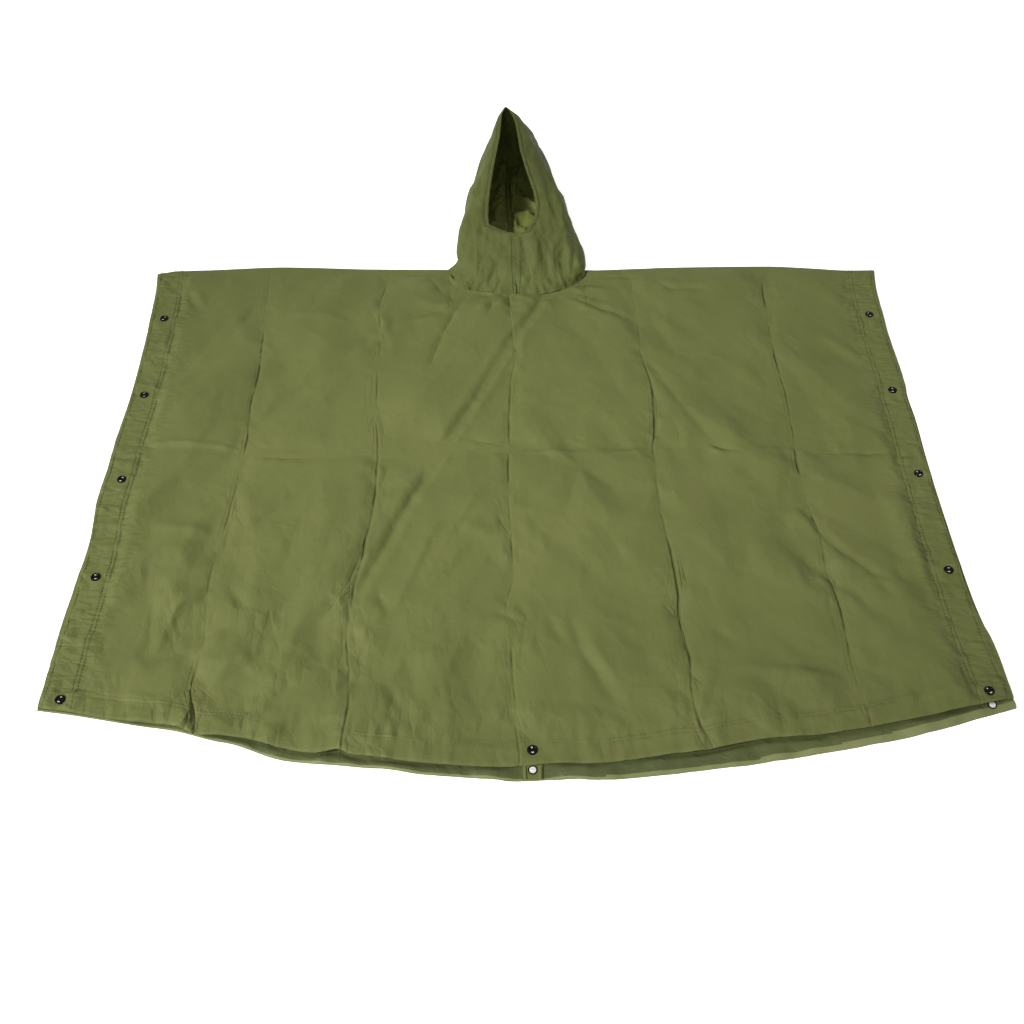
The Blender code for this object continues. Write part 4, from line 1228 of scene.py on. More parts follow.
def note_on_cloth(mesh, values, count):
    """Named numbers on the cloth's outer points, for its material. Its inner ones are far from any line."""
    for name, field in values.items():
        column = np.full(count, 99.0 if name.endswith("gap_mm") else 0.0, np.float32)
        column[: field.size] = field.ravel()
        mesh.attributes.new(name, "FLOAT", "POINT").data.foreach_set("value", column)


front_guides = [float(np.mean([place for _, place in path])) / 1000.0 for path in PACK_CREASES]
front_columns = spaced(
    -HALF_WIDTH, HALF_WIDTH, PANEL_STEP,
    (NECK_STEP, 0.150, (0.0,)),
    (NECK_CORNER_STEP, 0.005, (-NECK_HALF, NECK_HALF)),
    (CREASE_STEP, CREASE_REACH, front_guides),
    (HEM_STEP, SIDE_HEM, (-HALF_WIDTH, HALF_WIDTH)),
)
front_rows = spaced(
    0.0, FRONT_LENGTH, PANEL_STEP,
    (NECK_STEP, 0.075, (0.0,)),
    (LEVEL_CREASE_STEP, LEVEL_CREASE_REACH, (MIDDLE_CREASE_DOWN + 0.005,)),
    (HEM_STEP, BOTTOM_HEM, (FRONT_LENGTH,)),
    (HEM_ROLL_STEP, 0.004, (FRONT_LENGTH,)),
)
front_drawn_in = []
for play, seed in ((LEFT_DRAWN_IN, 33.0), (RIGHT_DRAWN_IN, 34.0)):
    bumps = EDGE_BUMPS * np.abs(wander(front_rows, EDGE_BUMP_SIZE, seed)) * smooth(front_rows, 0.02, 0.08)
    front_drawn_in.append(bumps + along_edge(play, front_rows))
front_x, front_down = panel_grid(
    front_columns, front_rows, NECK_FRONT_DROP, FRONT_HEM_EDGE, front_guides, PACK_CREASES, front_drawn_in
)
front_lines = {"gap": np.full(front_x.shape, 0.050), "height": np.zeros(front_x.shape)}
front_top = front_outer_height(front_x, front_down, front_lines)
beyond_neck = np.abs(front_x) >= NECK_HALF
rounding = np.sin(0.5 * math.pi * np.minimum(front_rows[:, None] / FOLD_ROUNDING, 1.0))
front_top = np.where(beyond_neck, blend(FOLD_EDGE_HEIGHT, front_top, rounding), front_top)
front_side_gap, front_hem_gap = edge_gaps(front_x, front_down, FRONT_HEM_EDGE)
front_wall = blend(SINGLE_WALL, HEM_WALL - SINGLE_WALL, turned_hem(front_side_gap, front_hem_gap))
at_fold = beyond_neck & (front_rows[:, None] < FOLD_UNDER_REACH)
lowest_under = np.where(at_fold, FOLD_UNDER, LOWEST_UNDER)[::2, ::2]
front_under = np.maximum(lowest_near(front_top - front_wall), lowest_under)
front_flat = np.stack([front_x, front_down], axis=-1)
body_front = cloth_shell(
    "front_panel",
    world_points(front_x, front_down, front_top),
    world_points(front_x[::2, ::2], front_down[::2, ::2], front_under),
    front_flat,
    creased_taffeta,
)
front_notes = {
    "fold_gap_mm": front_lines["gap"], "fold_height_mm": front_lines["height"],
    "side_gap_mm": front_side_gap, "hem_gap_mm": front_hem_gap,
    "crushed": 0.001 * front_lines["worked"], "puckered": 0.001 * front_lines["puckered"],
}
note_on_cloth(
    body_front.data,
    {name: 1000.0 * field for name, field in front_notes.items()},
    len(body_front.data.vertices),
)
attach(body_front, "root")
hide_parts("body_front")


# -------- hood
# Two halves of the same taffeta, joined by a throat seam from the neck to the chin and by a seam down
# the back that lies on the floor. The face opening has a narrow turned rim, and the crown stands up.

# Sections from the neck seam to the peak, in mm: the back seam on the floor and the widest place of each half
HOOD_COLUMNS = ("back_down", "back_z", "floor_x", "left_x", "right_x", "side_down", "side_z", "lean")
HOOD_SECTIONS = (
    (32.5, 0, 95, 136, 135, 2, 2.8, 0),
    (14, 0, 90, 114, 139.5, -14, 11, -3),
    (-15, 0, 90, 112.5, 138, -36, 21, -5),
    (-55, 0, 88, 108.5, 129, -68, 30, -7),
    (-70, 0, 85, 107, 124, -80, 33, -8),
    (-110, 0, 78, 99, 115, -112, 38, -9),
    (-160, 0, 66, 91, 108, -152, 44, -11),
    (-210, 0, 54, 74.5, 97, -195, 51, -14),
    (-260, 0, 41, 63, 84, -238, 61, -15),
    (-305, 0, 28, 51, 66.5, -278, 74, -14),
    (-345, 5, 17, 36.5, 50, -312, 91, -15),
    (-373, 40, 10, 23.5, 34, -335, 110, -17),
    (-368, 90, 5, 10, 19, -347, 125, -20),
    (-358, 128, 2, 4, 6.5, -351, 134, -20),
    (-352, 137, 0.3, 0.9, 1.2, -351, 137.9, -18.5),
)
# The front edge of each half, in mm: section number, x, down and z. It runs up the throat seam to the
# chin at section 3, along the foot of the face opening to its corner at section 4, and up to the peak.
THROAT = ((0, -2, 80.4, 4.8), (1, -2.6, 56, 19), (2, -2.6, 22, 38), (2.6, -2, -12, 53))
CHIN = (3, -1.3, -32.8, 62.9)
LEFT_RIM = (
    (3.25, -17, -37.2, 63.3), (3.5, -29, -43, 63.8), (3.75, -43, -51.5, 64.3),
    (4, -53, -58, 64.9), (4.15, -55.2, -66, 66.3), (4.45, -56, -80, 71.5),
    (5, -55.2, -100, 80.5), (5.8, -51.9, -130.2, 94), (7, -44.5, -180, 111.5),
    (8, -37.3, -223, 121.7), (9, -31, -263, 129.7), (10, -28.5, -298, 134.5),
    (11, -26.8, -324, 137.2), (12, -23.5, -336, 138.3), (13, -18.4, -346, 139),
    (14, -18.3, -349.5, 138.9),
)
RIGHT_RIM = (
    (3.25, 8.5, -34.2, 63), (3.5, 18.4, -39.8, 63.6), (3.8, 25, -51.5, 64.8),
    (4, 30.7, -63, 67), (4.2, 34.8, -73, 69.6), (4.5, 38, -86, 74.5),
    (5, 38.9, -103.2, 82), (5.8, 33.7, -128.2, 94), (7, 18.2, -181, 111.7),
    (8, 9.2, -223, 121.6), (9, 4.7, -263, 129.6), (10, 0.4, -300, 134.8),
    (11, -6.5, -325, 137.3), (12, -11.5, -337, 138.4), (13, -15.8, -346, 139),
    (14, -18.1, -349.5, 138.9),
)
CHIN_ROW = 3

# How square the upper half of a section is, at some sections: 2 is an ellipse
HOOD_SQUARENESS = np.array([0.0, 1.5, 3.6, 5.5, 14.0]), np.array([2.5, 3.0, 3.0, 2.1, 2.0])
# The share of the mesh's rows that lies below a section. They are closer together round the chin.
HOOD_ROWS = 132
ROW_SHARES = (
    (0.0, 0.0), (0.16, 2.0), (0.235, 2.9), (0.25, 3.0), (0.40, 4.0), (0.425, 4.3), (0.58, 6.0),
    (0.79, 9.0), (0.985, 13.0), (1.0, 14.0),
)
# Each row runs along the floor, up the lower side and over the upper face. The first two end at these
# shares of it.
HOOD_ACROSS = 150
HOOD_FLOOR_SHARE = 0.20
HOOD_LOWER_SHARE = 0.40
# The cloth's thickness, and how far each half stays off the middle along the back seam
HOOD_WALL = 0.0007
HOOD_SEAM_CLEARANCE = 0.00005

# The rim's turned edge and the step of the throat seam, with the hollows that their sewing pulls and the
# puckers beside it (height, pitch and reach)
RIM_WIDTH = 0.0080
RIM_ROLL = 0.0005
RIM_GROOVE = 0.0009
RIM_GROOVE_WIDTH = 0.0017
RIM_PUCKERS = (0.0016, 0.010, 0.007)
THROAT_BAND = 0.0056
THROAT_STEP = 0.0011
THROAT_STEP_WIDTH = 0.0016
THROAT_GROOVE = 0.0026
THROAT_GROOVE_WIDTH = 0.0030
THROAT_PUCKERS = (0.0016, 0.009, 0.011)

# Random relief of the outside: waves and valleys (height and length), facets (height, slant, how far they
# are drawn out, pitch and random number), and gathers at the neck seam. The side is a plain fold where it
# is lower than FLAT_BELOW.
HOOD_WAVES = (0.0030, 0.070)
HOOD_VALLEYS = (0.0030, 0.040)
HOOD_FACETS = ((0.0085, -0.4, 0.45, 0.032, 110), (0.0036, 0.3, 0.50, 0.013, 114))
NECK_GATHERING = 0.0034
NECK_GATHER_PITCH = 0.013
NECK_PLEAT_PITCH = 0.011
FLAT_BELOW = 0.030
# The inside, where the back of the hood lies on the floor: how high its crumpled cloth stands, and its
# facets (height, pitch and random number)
INSIDE_FOLD_STRENGTH = 1.4
INSIDE_CRUMPLED = 0.0080
INSIDE_FACETS = ((0.0230, 0.030, 112), (0.0100, 0.014, 120))
# How much the material's fine facets show: over the outside, and beside the seams
HOOD_CRUSHED = 0.55
HOOD_PUCKERED = 0.80
HOOD_PUCKER_REACH = 0.011

# Folds of the hood's upper face, and of its inside where the back seam lies on the floor: as the panel's
HOOD_FOLDS = (
    (4, 2.2, 0, (-60, -196), (-62, -178), (-65, -158)),
    (4, 2.2, 0, (-74, -116), (-65, -92)),
    (6, 1.9, 0, (-94, -94), (-74, -84)),
    (4.5, -2.8, 0, (-67, -66), (-69, -30)),
    (5, 2, 0, (-108, -52), (-94, -34)),
    (4.5, 3, 0, (-113, -44), (-104, -10), (-97, 22)),
    (4, -2.4, 0, (-106, -32), (-97, -6)),
    (5, -3.4, 0, (-110, -10), (-107, 22)),
    (4.5, 3, 0, (-124, 2), (-110, 12), (-96, 30)),
    (4.5, -3.8, 0, (-122, 12), (-108, 24), (-94, 42)),
    (4, -3.4, 0, (-96, 44), (-88, 68)),
    (4, -3.2, 0, (-80, 48), (-93, 68)),
    (9, -2.8, 0, (-86, -24), (-83, 20)),
    (5.5, 3, 0, (-67, 40), (-58, 70)),
    (5.5, -3.8, 0.2, (-36, 12), (-40, 26), (-53, 53), (-60, 72)),
    (11, 3.6, 0, (-20, 2), (-24, 52)),
    (3.5, -1.6, 0, (-54, -36), (-30, -16), (-8, 0)),
    (7, 2.2, 0, (-94, -26), (-75, 22)),
    (6, -2, 0, (-44, -112), (-60, -60), (-62, -34)),
    (8, 1.8, 0, (-78, -150), (-88, -118)),
    (7, -1.8, 0, (-50, -225), (-62, -208)),
    (6, 1.8, 0, (-38, -300), (-44, -262)),
    (6, -2.6, 0, (19, -20), (21, 14)),
    (6, -3.6, 0.2, (39, -40), (44, -22), (54, 20)),
    (7, 3.6, 0, (53, -20), (70, 22), (78, 50)),
    (4.5, 2.2, 0, (33, -24), (40, 2)),
    (5, 3.2, 0, (10, 46), (23, 68)),
    (5, 3, 0, (56, 48), (64, 68)),
    (5, 3.2, 0, (80, 42), (92, 60)),
    (11, -4.8, 0, (88, -36), (86, 21), (86, 56)),
    (5, 2.8, 0, (82, -142), (91, -85), (99, -27), (104, 20)),
    (4, 2.2, 0, (106, -46), (108, -9), (103, 18)),
    (5, -3.8, 0, (113, -10), (112, 16), (108, 34)),
    (5, 3.2, 0, (119, 2), (127, 22)),
    (6, -3.2, 0, (23, -298), (28, -258)),
    (6, -2.4, 0, (46, -202), (43, -156)),
    (6, 2, 0, (62, -204), (68, -164)),
    (7, -1.8, 0, (72, -140), (80, -80), (74, -40)),
    (8, 2, 0, (58, -120), (66, -70)),
    (5, -2.6, 0, (30, 18), (42, 62)),
    (5, -2.4, 0, (2, 40), (-6, 70)),
)
HOOD_INSIDE_FOLDS = (
    (11, 9, 0, (10, -340), (12, -305), (22, -276)),
    (4.5, 9, 0, (-12, -283), (24, -270)),
    (7, 8, 0, (-5, -268), (2, -232)),
    (5, 8, 0, (-24, -231), (8, -228)),
    (4.5, 7, 0, (-19, -214), (-9, -186), (-7, -168)),
    (6, 6, 0, (-18, -131), (6, -127)),
    (6, 6, 0, (-60, -196), (-24, -202)),
    (6, 6, 0, (-52, -150), (-20, -176)),
    (7, 6, 0, (14, -176), (48, -140)),
    (7, 7, 0, (14, -214), (58, -186)),
    (6, 4, 0, (-70, -120), (-24, -128)),
    (6, 4, 0, (14, -136), (60, -104)),
    (8, 8, 0, (-20, -345), (-30, -300), (-42, -262)),
    (7, 7, 0, (-14, -262), (-46, -236)),
)


def eased_rows(place):
    """The hood's section at places between the table's rows, in metres, as one column for each name."""
    table = np.array(HOOD_SECTIONS, float) / 1000.0
    side_down, side_z = (table[:, HOOD_COLUMNS.index(name)] for name in ("side_down", "side_z"))
    side_steps = np.hypot(np.diff(side_down), np.diff(side_z)) + 0.004
    stations = np.concatenate(([0.0], np.cumsum(side_steps)))
    at = np.interp(place, np.arange(len(table)), stations)
    eased = curve_through(stations, table, at)
    return dict(zip(HOOD_COLUMNS, eased.T[:, :, None]))


def front_edge(place, side):
    """x, down and z of one half's front edge at each section place."""
    route = np.array([*THROAT, CHIN, *(RIGHT_RIM if side > 0 else LEFT_RIM)], float)
    points = route[:, 1:] / 1000.0
    return (np.interp(place, route[:, 0], column)[:, None] for column in points.T)


def hood_places():
    """Section places from the neck seam to the peak, even along the side and closer round the chin."""
    shares, sections = np.array(ROW_SHARES).T
    return np.interp(np.linspace(0.0, 1.0, HOOD_ROWS + 1), shares, sections)


def hood_form(side):
    """Points of one half, from its neck seam to the peak and from the back seam round to the front edge."""
    places = hood_places()
    section = eased_rows(places)
    widest = section["right_x"] if side > 0 else section["left_x"]
    lean = section["lean"]
    rim_x, rim_down, rim_z = front_edge(places, side)
    share = np.linspace(0.0, 1.0, HOOD_ACROSS + 1)[None, :]
    back_down, back_z = section["back_down"], np.maximum(section["back_z"], 0.0)

    def floor_down(x):
        return np.minimum(back_down, neck_down(x, NECK_BACK_DROP) - NECK_CLEARANCE)

    floor_x = blend(HOOD_SEAM_CLEARANCE, section["floor_x"], np.clip(share / HOOD_FLOOR_SHARE, 0.0, 1.0))
    lower = np.clip((share - HOOD_FLOOR_SHARE) / (HOOD_LOWER_SHARE - HOOD_FLOOR_SHARE), 0.0, 1.0)
    lower_turn = 0.5 * math.pi * lower
    upper = np.clip((share - HOOD_LOWER_SHARE) / (1.0 - HOOD_LOWER_SHARE), 0.0, 1.0)
    upper_turn = 0.5 * math.pi * upper
    squareness = curve_through(*HOOD_SQUARENESS, places)[:, None]
    lower_x = blend(section["floor_x"], widest, np.sin(lower_turn))
    out = np.maximum(np.cos(upper_turn), 0.0) ** (2.0 / squareness)
    up = np.sin(upper_turn) ** (2.0 / squareness)
    on_floor = share < HOOD_FLOOR_SHARE
    on_lower = share < HOOD_LOWER_SHARE
    upper_x = blend(rim_x, lean + side * widest, out)
    x = np.where(on_floor, lean + side * floor_x, np.where(on_lower, lean + side * lower_x, upper_x))
    lower_down = blend(floor_down(lower_x), section["side_down"], 1.0 - np.cos(lower_turn))
    upper_down = blend(section["side_down"], rim_down, up)
    down = np.where(on_floor, floor_down(floor_x), np.where(on_lower, lower_down, upper_down))
    lower_z = blend(back_z, section["side_z"], 1.0 - np.cos(lower_turn))
    upper_z = blend(section["side_z"], rim_z, up)
    z = np.where(on_floor, back_z, np.where(on_lower, lower_z, upper_z))
    return np.stack([x, down, z], axis=-1), places, lean


def outward(points, side):
    """Outward directions on a grid of (x, down, z) points of one half."""
    along_row = np.gradient(points, axis=1)
    along_column = np.gradient(points, axis=0)
    across = np.cross(along_row, along_column) * side
    length = np.linalg.norm(across, axis=-1, keepdims=True)
    return across / np.maximum(length, 1e-9)


def hood_edge_relief(down, from_front, above_chin):
    """The rim's turned edge above the chin, and the felled throat seam below it."""
    height, pitch, reach = RIM_PUCKERS
    rim = RIM_ROLL * bell(from_front - 0.35 * RIM_WIDTH, 0.45 * RIM_WIDTH)
    rim -= RIM_GROOVE * bell(from_front - RIM_WIDTH, RIM_GROOVE_WIDTH)
    rim += height * facets(0.4 * from_front, down, pitch, 118) * bell(from_front - RIM_WIDTH, reach)
    height, pitch, reach = THROAT_PUCKERS
    felled = THROAT_STEP * (1.0 - smooth(from_front, THROAT_BAND, THROAT_BAND + THROAT_STEP_WIDTH))
    felled -= THROAT_GROOVE * bell(from_front, THROAT_GROOVE_WIDTH)
    felled += height * facets(0.5 * from_front, down, pitch, 119) * bell(from_front, reach)
    return above_chin * rim * smooth(from_front, -0.001, 0.001), (1.0 - above_chin) * felled


def hood_outside(points, places, share, side, from_front, upper):
    """How far the outer face of one half stands off its form."""
    x, down, z = np.moveaxis(points, -1, 0)
    from_seam = places[:, None]
    height, size = HOOD_WAVES
    relief = height * crumple(x, down + z, size, 41.0 + side)
    height, size = HOOD_VALLEYS
    relief += height * creased_field(x, 0.6 * down + z, size, 42.0 + side)
    for height, slant, drawn_out, pitch, seed in HOOD_FACETS:
        relief += height * facets(x + slant * side * z, drawn_out * (down + z), pitch, seed + side)
    relief = relief * smooth(from_seam, 0.0, 1.2) * smooth(from_front, 0.0, 0.030)
    side_height = [row[HOOD_COLUMNS.index("side_z")] / 1000.0 for row in HOOD_SECTIONS]
    side_height = np.interp(places, np.arange(len(HOOD_SECTIONS)), side_height)
    flat_fold = np.clip(1.0 - side_height / FLAT_BELOW, 0.0, 1.0)[:, None]
    relief *= 1.0 - bell(share - HOOD_LOWER_SHARE, 0.14) * flat_fold
    along_seam = NECK_HALF * np.arctan2(down + 0.05, np.abs(x)) * side
    from_neck = np.hypot(x, down)
    gathers = crumple(along_seam, 0.3 * from_neck, NECK_GATHER_PITCH, 44.0)
    gathers += 1.6 * facets(along_seam, 0.25 * from_neck, NECK_PLEAT_PITCH, 116 + side)
    gathers = NECK_GATHERING * gathers * smooth(from_seam, 0.0, 0.12)
    relief += gathers * (1.0 - smooth(from_seam, 0.30, 1.3)) * upper
    relief += laid_folds(x, down, HOOD_FOLDS) * upper
    above_chin = smooth(from_seam, CHIN_ROW - 0.1, CHIN_ROW + 0.1)
    for edge in hood_edge_relief(down, from_front, above_chin):
        relief += edge
    return relief


def hood_inside(x, down, places, share, side):
    """How far the inner face stands up where the back of one half lies on the floor."""
    lying = (1.0 - smooth(share, 0.24, 0.37)) * smooth(places, 0.4, 2.6)[:, None]
    folds = laid_folds(x, down, HOOD_INSIDE_FOLDS)
    crushed = sum(height * facets(x, down, pitch, seed + side) for height, pitch, seed in INSIDE_FACETS)
    relief = (INSIDE_FOLD_STRENGTH * folds + INSIDE_CRUMPLED + crushed) * lying
    return relief * smooth(share, 0.0, 0.03)


def make_hood_half(name, side):
    """One half. Returns its outer face and each point's distance from its front edge, for the sewing."""
    points, places, lean = hood_form(side)
    normals = outward(points, side)
    share = np.linspace(0.0, 1.0, HOOD_ACROSS + 1)[None, :]
    upper = smooth(share, HOOD_LOWER_SHARE - 0.05, HOOD_LOWER_SHARE + 0.10)
    from_front = np.linalg.norm(points - points[:, -1:], axis=-1)
    outside = hood_outside(points, places, share, side, from_front, upper)
    inside = hood_inside(points[..., 0], points[..., 1], places, share, side)
    outer = points + normals * outside[..., None]
    depth = HOOD_WALL + np.maximum(inside, 0.0) + np.maximum(-outside, 0.0)
    depth = np.where(share < 1.0, depth, HOOD_WALL)
    inner = np.where((share < 1.0)[..., None], points, outer) - normals * depth[..., None]
    for layer in (outer, inner):
        layer[..., 2] = np.maximum(layer[..., 2], 0.0)
    seam = lean + side * HOOD_SEAM_CLEARANCE
    on_back = share < HOOD_FLOOR_SHARE
    inner[..., 0] = np.where(on_back, side * np.maximum(side * inner[..., 0], side * seam), inner[..., 0])
    steps = np.linalg.norm(np.diff(points, axis=1), axis=-1)
    across_cloth = np.concatenate([np.zeros((len(points), 1)), np.cumsum(steps, axis=1)], axis=1)
    side_steps = np.linalg.norm(np.diff(points[:, HOOD_ACROSS // 2], axis=0), axis=-1)
    along_cloth = np.concatenate([[0.0], np.cumsum(side_steps)])
    flat = np.stack([side * across_cloth, np.broadcast_to(along_cloth[:, None], across_cloth.shape)], axis=-1)
    placed = [world_points(*np.moveaxis(layer, -1, 0)) for layer in (outer, inner)]
    half = cloth_shell(name + "_cloth", *placed, flat, shaded_hood_taffeta, face_up=side < 0)
    half.data.materials.append(lit_hood_inner_side)
    at_neck = 1.0 - smooth(places[:, None], 0.3, 0.9)
    at_seams = np.maximum(bell(from_front, HOOD_PUCKER_REACH), at_neck) * upper
    notes = {"crushed": HOOD_CRUSHED * upper * (1.0 - 0.6 * at_seams), "puckered": HOOD_PUCKERED * at_seams}
    note_on_cloth(half.data, notes, len(half.data.vertices))
    quads = HOOD_ROWS * HOOD_ACROSS
    for polygon in half.data.polygons[quads : 2 * quads]:
        polygon.material_index = 1
    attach(half, "root")
    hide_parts(name)
    return outer, from_front


# The felled seam: its width along most of it and at the peak, its height, crown and puckers, and its foot
SEAM_WIDTH = 0.0070
SEAM_WIDTH_AT_PEAK = 0.0012
SEAM_HEIGHT = 0.0034
SEAM_CROWN = 0.0016
SEAM_PUCKERS = 0.0012
SEAM_PUCKER_PITCH = 0.008
SEAM_FOOT = 0.0005
# The sections where it starts and ends, and those between which it narrows towards the peak
SEAM_ENDS = (0.15, 13.9)
SEAM_NARROWS = (11.5, 13.6)
SEAM_ROWS = 240
SEAM_COLUMNS = 9


def make_back_seam():
    """The felled seam allowance inside the hood's back seam, from the neck to the peak."""
    places = np.linspace(*SEAM_ENDS, SEAM_ROWS)
    section = eased_rows(places)
    back_down = np.minimum(section["back_down"], NECK_BACK_DROP - NECK_CLEARANCE)
    line = np.concatenate([section["lean"], back_down, section["back_z"]], axis=1)
    ahead = np.gradient(line, axis=0)
    ahead /= np.linalg.norm(ahead, axis=1, keepdims=True)
    rise = np.stack([np.zeros(len(ahead)), -ahead[:, 2], ahead[:, 1]], axis=-1)
    rise *= np.where(rise[:, 2:] + rise[:, 1:2] < 0.0, -1.0, 1.0)
    across = np.linspace(-0.5, 0.5, SEAM_COLUMNS)[None, :, None]
    narrow = blend(SEAM_WIDTH, SEAM_WIDTH_AT_PEAK, smooth(places, *SEAM_NARROWS))[:, None, None]
    aside = np.cross(ahead, rise)[:, None, :] * across * narrow
    puckers = facets(np.zeros(len(places)), 0.028 * places, SEAM_PUCKER_PITCH, 121)[:, None, None]
    crown = SEAM_CROWN * np.cos(math.pi * across) + SEAM_PUCKERS * puckers
    top = line[:, None, :] + aside + rise[:, None, :] * (SEAM_HEIGHT + crown)
    foot = line[:, None, :] + aside + rise[:, None, :] * SEAM_FOOT
    flat = np.stack([np.broadcast_to(across[..., 0] * SEAM_WIDTH, top.shape[:2]), -top[..., 1]], axis=-1)
    placed = [world_points(*np.moveaxis(layer, -1, 0)) for layer in (top, foot)]
    return cloth_shell("hood_back_seam", *placed, flat, lit_hood_inner_side)


back_seam = make_back_seam()
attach(back_seam, "root")
left_outer, left_from_front = make_hood_half("hood_left", -1)
right_outer, right_from_front = make_hood_half("hood_right", 1)


# -------- stitching
# Polyester lockstitch, just proud of the cloth: three rows of dark thread in each side hem, two of olive
# thread in the front's lower hem, and dark ones beside the throat seam and the rim of the face opening.

# The real thread is near 0.3 mm thick, and is drawn thicker so that it shows
STITCH_LENGTH = 0.0040
THREAD_THICKNESS = 0.0007
SIDE_THREAD_THICKNESS = 0.0009
HOOD_THREAD_THICKNESS = 0.0015
THREAD_PROUD = 0.0001
HOOD_THREAD_PROUD = 0.0005
# Where the rows of the hems start and end, and how many points guide them
SIDE_ROW_ENDS = (0.008, 1.0)
SIDE_ROW_STOP = 0.004
SIDE_ROW_POINTS = 600
HEM_ROW_HALF = 0.690
HEM_ROW_POINTS = 800
# The hood's rows: their sections, which leave out the chin, and how far inside the band's edge they run
THROAT_ROW_START = 0.10
RIM_ROW_END = 12.0
PAST_CHIN = 0.15
THROAT_ROW_IN = 0.0006
RIM_ROW_IN = 0.0010


def stitch_tree():
    """Thread stitches along a curve, as real geometry: a slim bead in each step of the path."""
    tree = bpy.data.node_groups.new("stitch_row", "GeometryNodeTree")
    tree.interface.new_socket("Path", in_out="INPUT", socket_type="NodeSocketGeometry")
    for label in ("Pitch", "Length", "Thickness"):
        tree.interface.new_socket(label, in_out="INPUT", socket_type="NodeSocketFloat")
    tree.interface.new_socket("Thread", in_out="INPUT", socket_type="NodeSocketMaterial")
    tree.interface.new_socket("Stitches", in_out="OUTPUT", socket_type="NodeSocketGeometry")
    inputs = add_node(tree, "NodeGroupInput").outputs
    places = add_node(
        tree, "GeometryNodeCurveToPoints", {"mode": "LENGTH"},
        links={"Curve": inputs["Path"], "Length": inputs["Pitch"]},
    )
    bead = add_node(tree, "GeometryNodeMeshUVSphere", values={"Segments": 5, "Rings": 4, "Radius": 0.5})
    size = add_node(
        tree, "ShaderNodeCombineXYZ",
        links={"X": inputs["Thickness"], "Y": inputs["Thickness"], "Z": inputs["Length"]},
    )
    laid = add_node(
        tree, "GeometryNodeInstanceOnPoints",
        links={
            "Points": places.outputs["Points"], "Instance": bead.outputs["Mesh"],
            "Rotation": places.outputs["Rotation"], "Scale": size.outputs["Vector"],
        },
    )
    real = add_node(tree, "GeometryNodeRealizeInstances", links={"Geometry": laid.outputs["Instances"]})
    threaded = add_node(
        tree, "GeometryNodeSetMaterial",
        links={"Geometry": real.outputs["Geometry"], "Material": inputs["Thread"]},
    )
    add_node(tree, "NodeGroupOutput", links={"Stitches": threaded.outputs["Geometry"]})
    return tree


def spun_thread(name, hex_colour):
    """Spun polyester thread: matt, with darker fibres in its twist."""
    made, tree, shader = new_material(name)
    place = add_node(tree, "ShaderNodeTexCoord").outputs["Object"]
    fuzz = add_node(
        tree, "ShaderNodeTexNoise", values={"Scale": 900.0, "Detail": 2.0}, links={"Vector": place}
    )
    darker = tuple(0.72 * value for value in linear(hex_colour)[:3])
    tone = add_node(
        tree, "ShaderNodeMix", {"data_type": "RGBA"},
        {"A": (*darker, 1.0), "B": linear(hex_colour)},
        {"Factor": fuzz.outputs["Fac"]},
    )
    tree.links.new(tone.outputs["Result"], shader.inputs["Base Color"])
    shader.inputs["Roughness"].default_value = 0.55
    return made


olive_thread = spun_thread("olive_polyester_thread", "#62673A")
dark_thread = spun_thread("dark_olive_polyester_thread", "#26290F")
stitches = stitch_tree()


def sew(name, routes, thread, thickness):
    """Stitches along each route of (x, y, z) points, as one mesh."""
    guide = bpy.data.curves.new(name, "CURVE")
    guide.dimensions = "3D"
    for route in routes:
        spline = guide.splines.new("POLY")
        spline.points.add(len(route) - 1)
        spline.points.foreach_set("co", [value for point in route for value in (*point, 1.0)])
    holder = bpy.data.objects.new(name + "_guide", guide)
    bpy.context.scene.collection.objects.link(holder)
    sewing = holder.modifiers.new("sewing", "NODES")
    sewing.node_group = stitches
    sockets = {item.name: item.identifier for item in stitches.interface.items_tree if item.in_out == "INPUT"}
    sewing[sockets["Pitch"]] = STITCH_PITCH
    sewing[sockets["Length"]] = STITCH_LENGTH
    sewing[sockets["Thickness"]] = thickness
    sewing[sockets["Thread"]] = thread
    made = bpy.data.meshes.new_from_object(holder.evaluated_get(bpy.context.evaluated_depsgraph_get()))
    bpy.data.objects.remove(holder)
    made.materials.clear()
    made.shade_smooth()
    piece = add_piece(name, made, thread)
    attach(piece, "root")
    return piece


def on_front(x, down):
    """Points on the front panel's outer face."""
    return world_points(x, down, front_outer_height(x, down) + THREAD_PROUD)


def side_row(side, inset):
    """A row down a side hem, at a distance in from its edge."""
    down = np.linspace(*SIDE_ROW_ENDS, SIDE_ROW_POINTS)
    edge = along_edge(RIGHT_EDGE if side > 0 else LEFT_EDGE, down)
    x = side * (edge - inset)
    keep = down < along_edge(FRONT_HEM_EDGE, x) - SIDE_ROW_STOP
    return on_front(x[keep], down[keep])


def hem_row(rise):
    """A row along the lower hem, at a distance up from its edge."""
    x = np.linspace(-HEM_ROW_HALF, HEM_ROW_HALF, HEM_ROW_POINTS)
    return on_front(x, along_edge(FRONT_HEM_EDGE, x) - rise)


side_rows = [side_row(side, inset) for side in (-1, 1) for inset in SIDE_STITCH_ROWS]
sew("side_hem_stitching", side_rows, dark_thread, SIDE_THREAD_THICKNESS)
sew("lower_hem_stitching", [hem_row(rise) for rise in HEM_STITCH_ROWS], olive_thread, THREAD_THICKNESS)


def hood_route(outer, from_front, rows, distance):
    """Points on one half, at a distance from its front edge, for some of its rows."""
    columns = np.abs(from_front[rows] - distance).argmin(axis=1)
    layer = outer[rows, columns]
    return world_points(layer[:, 0], layer[:, 1], layer[:, 2] + HOOD_THREAD_PROUD)


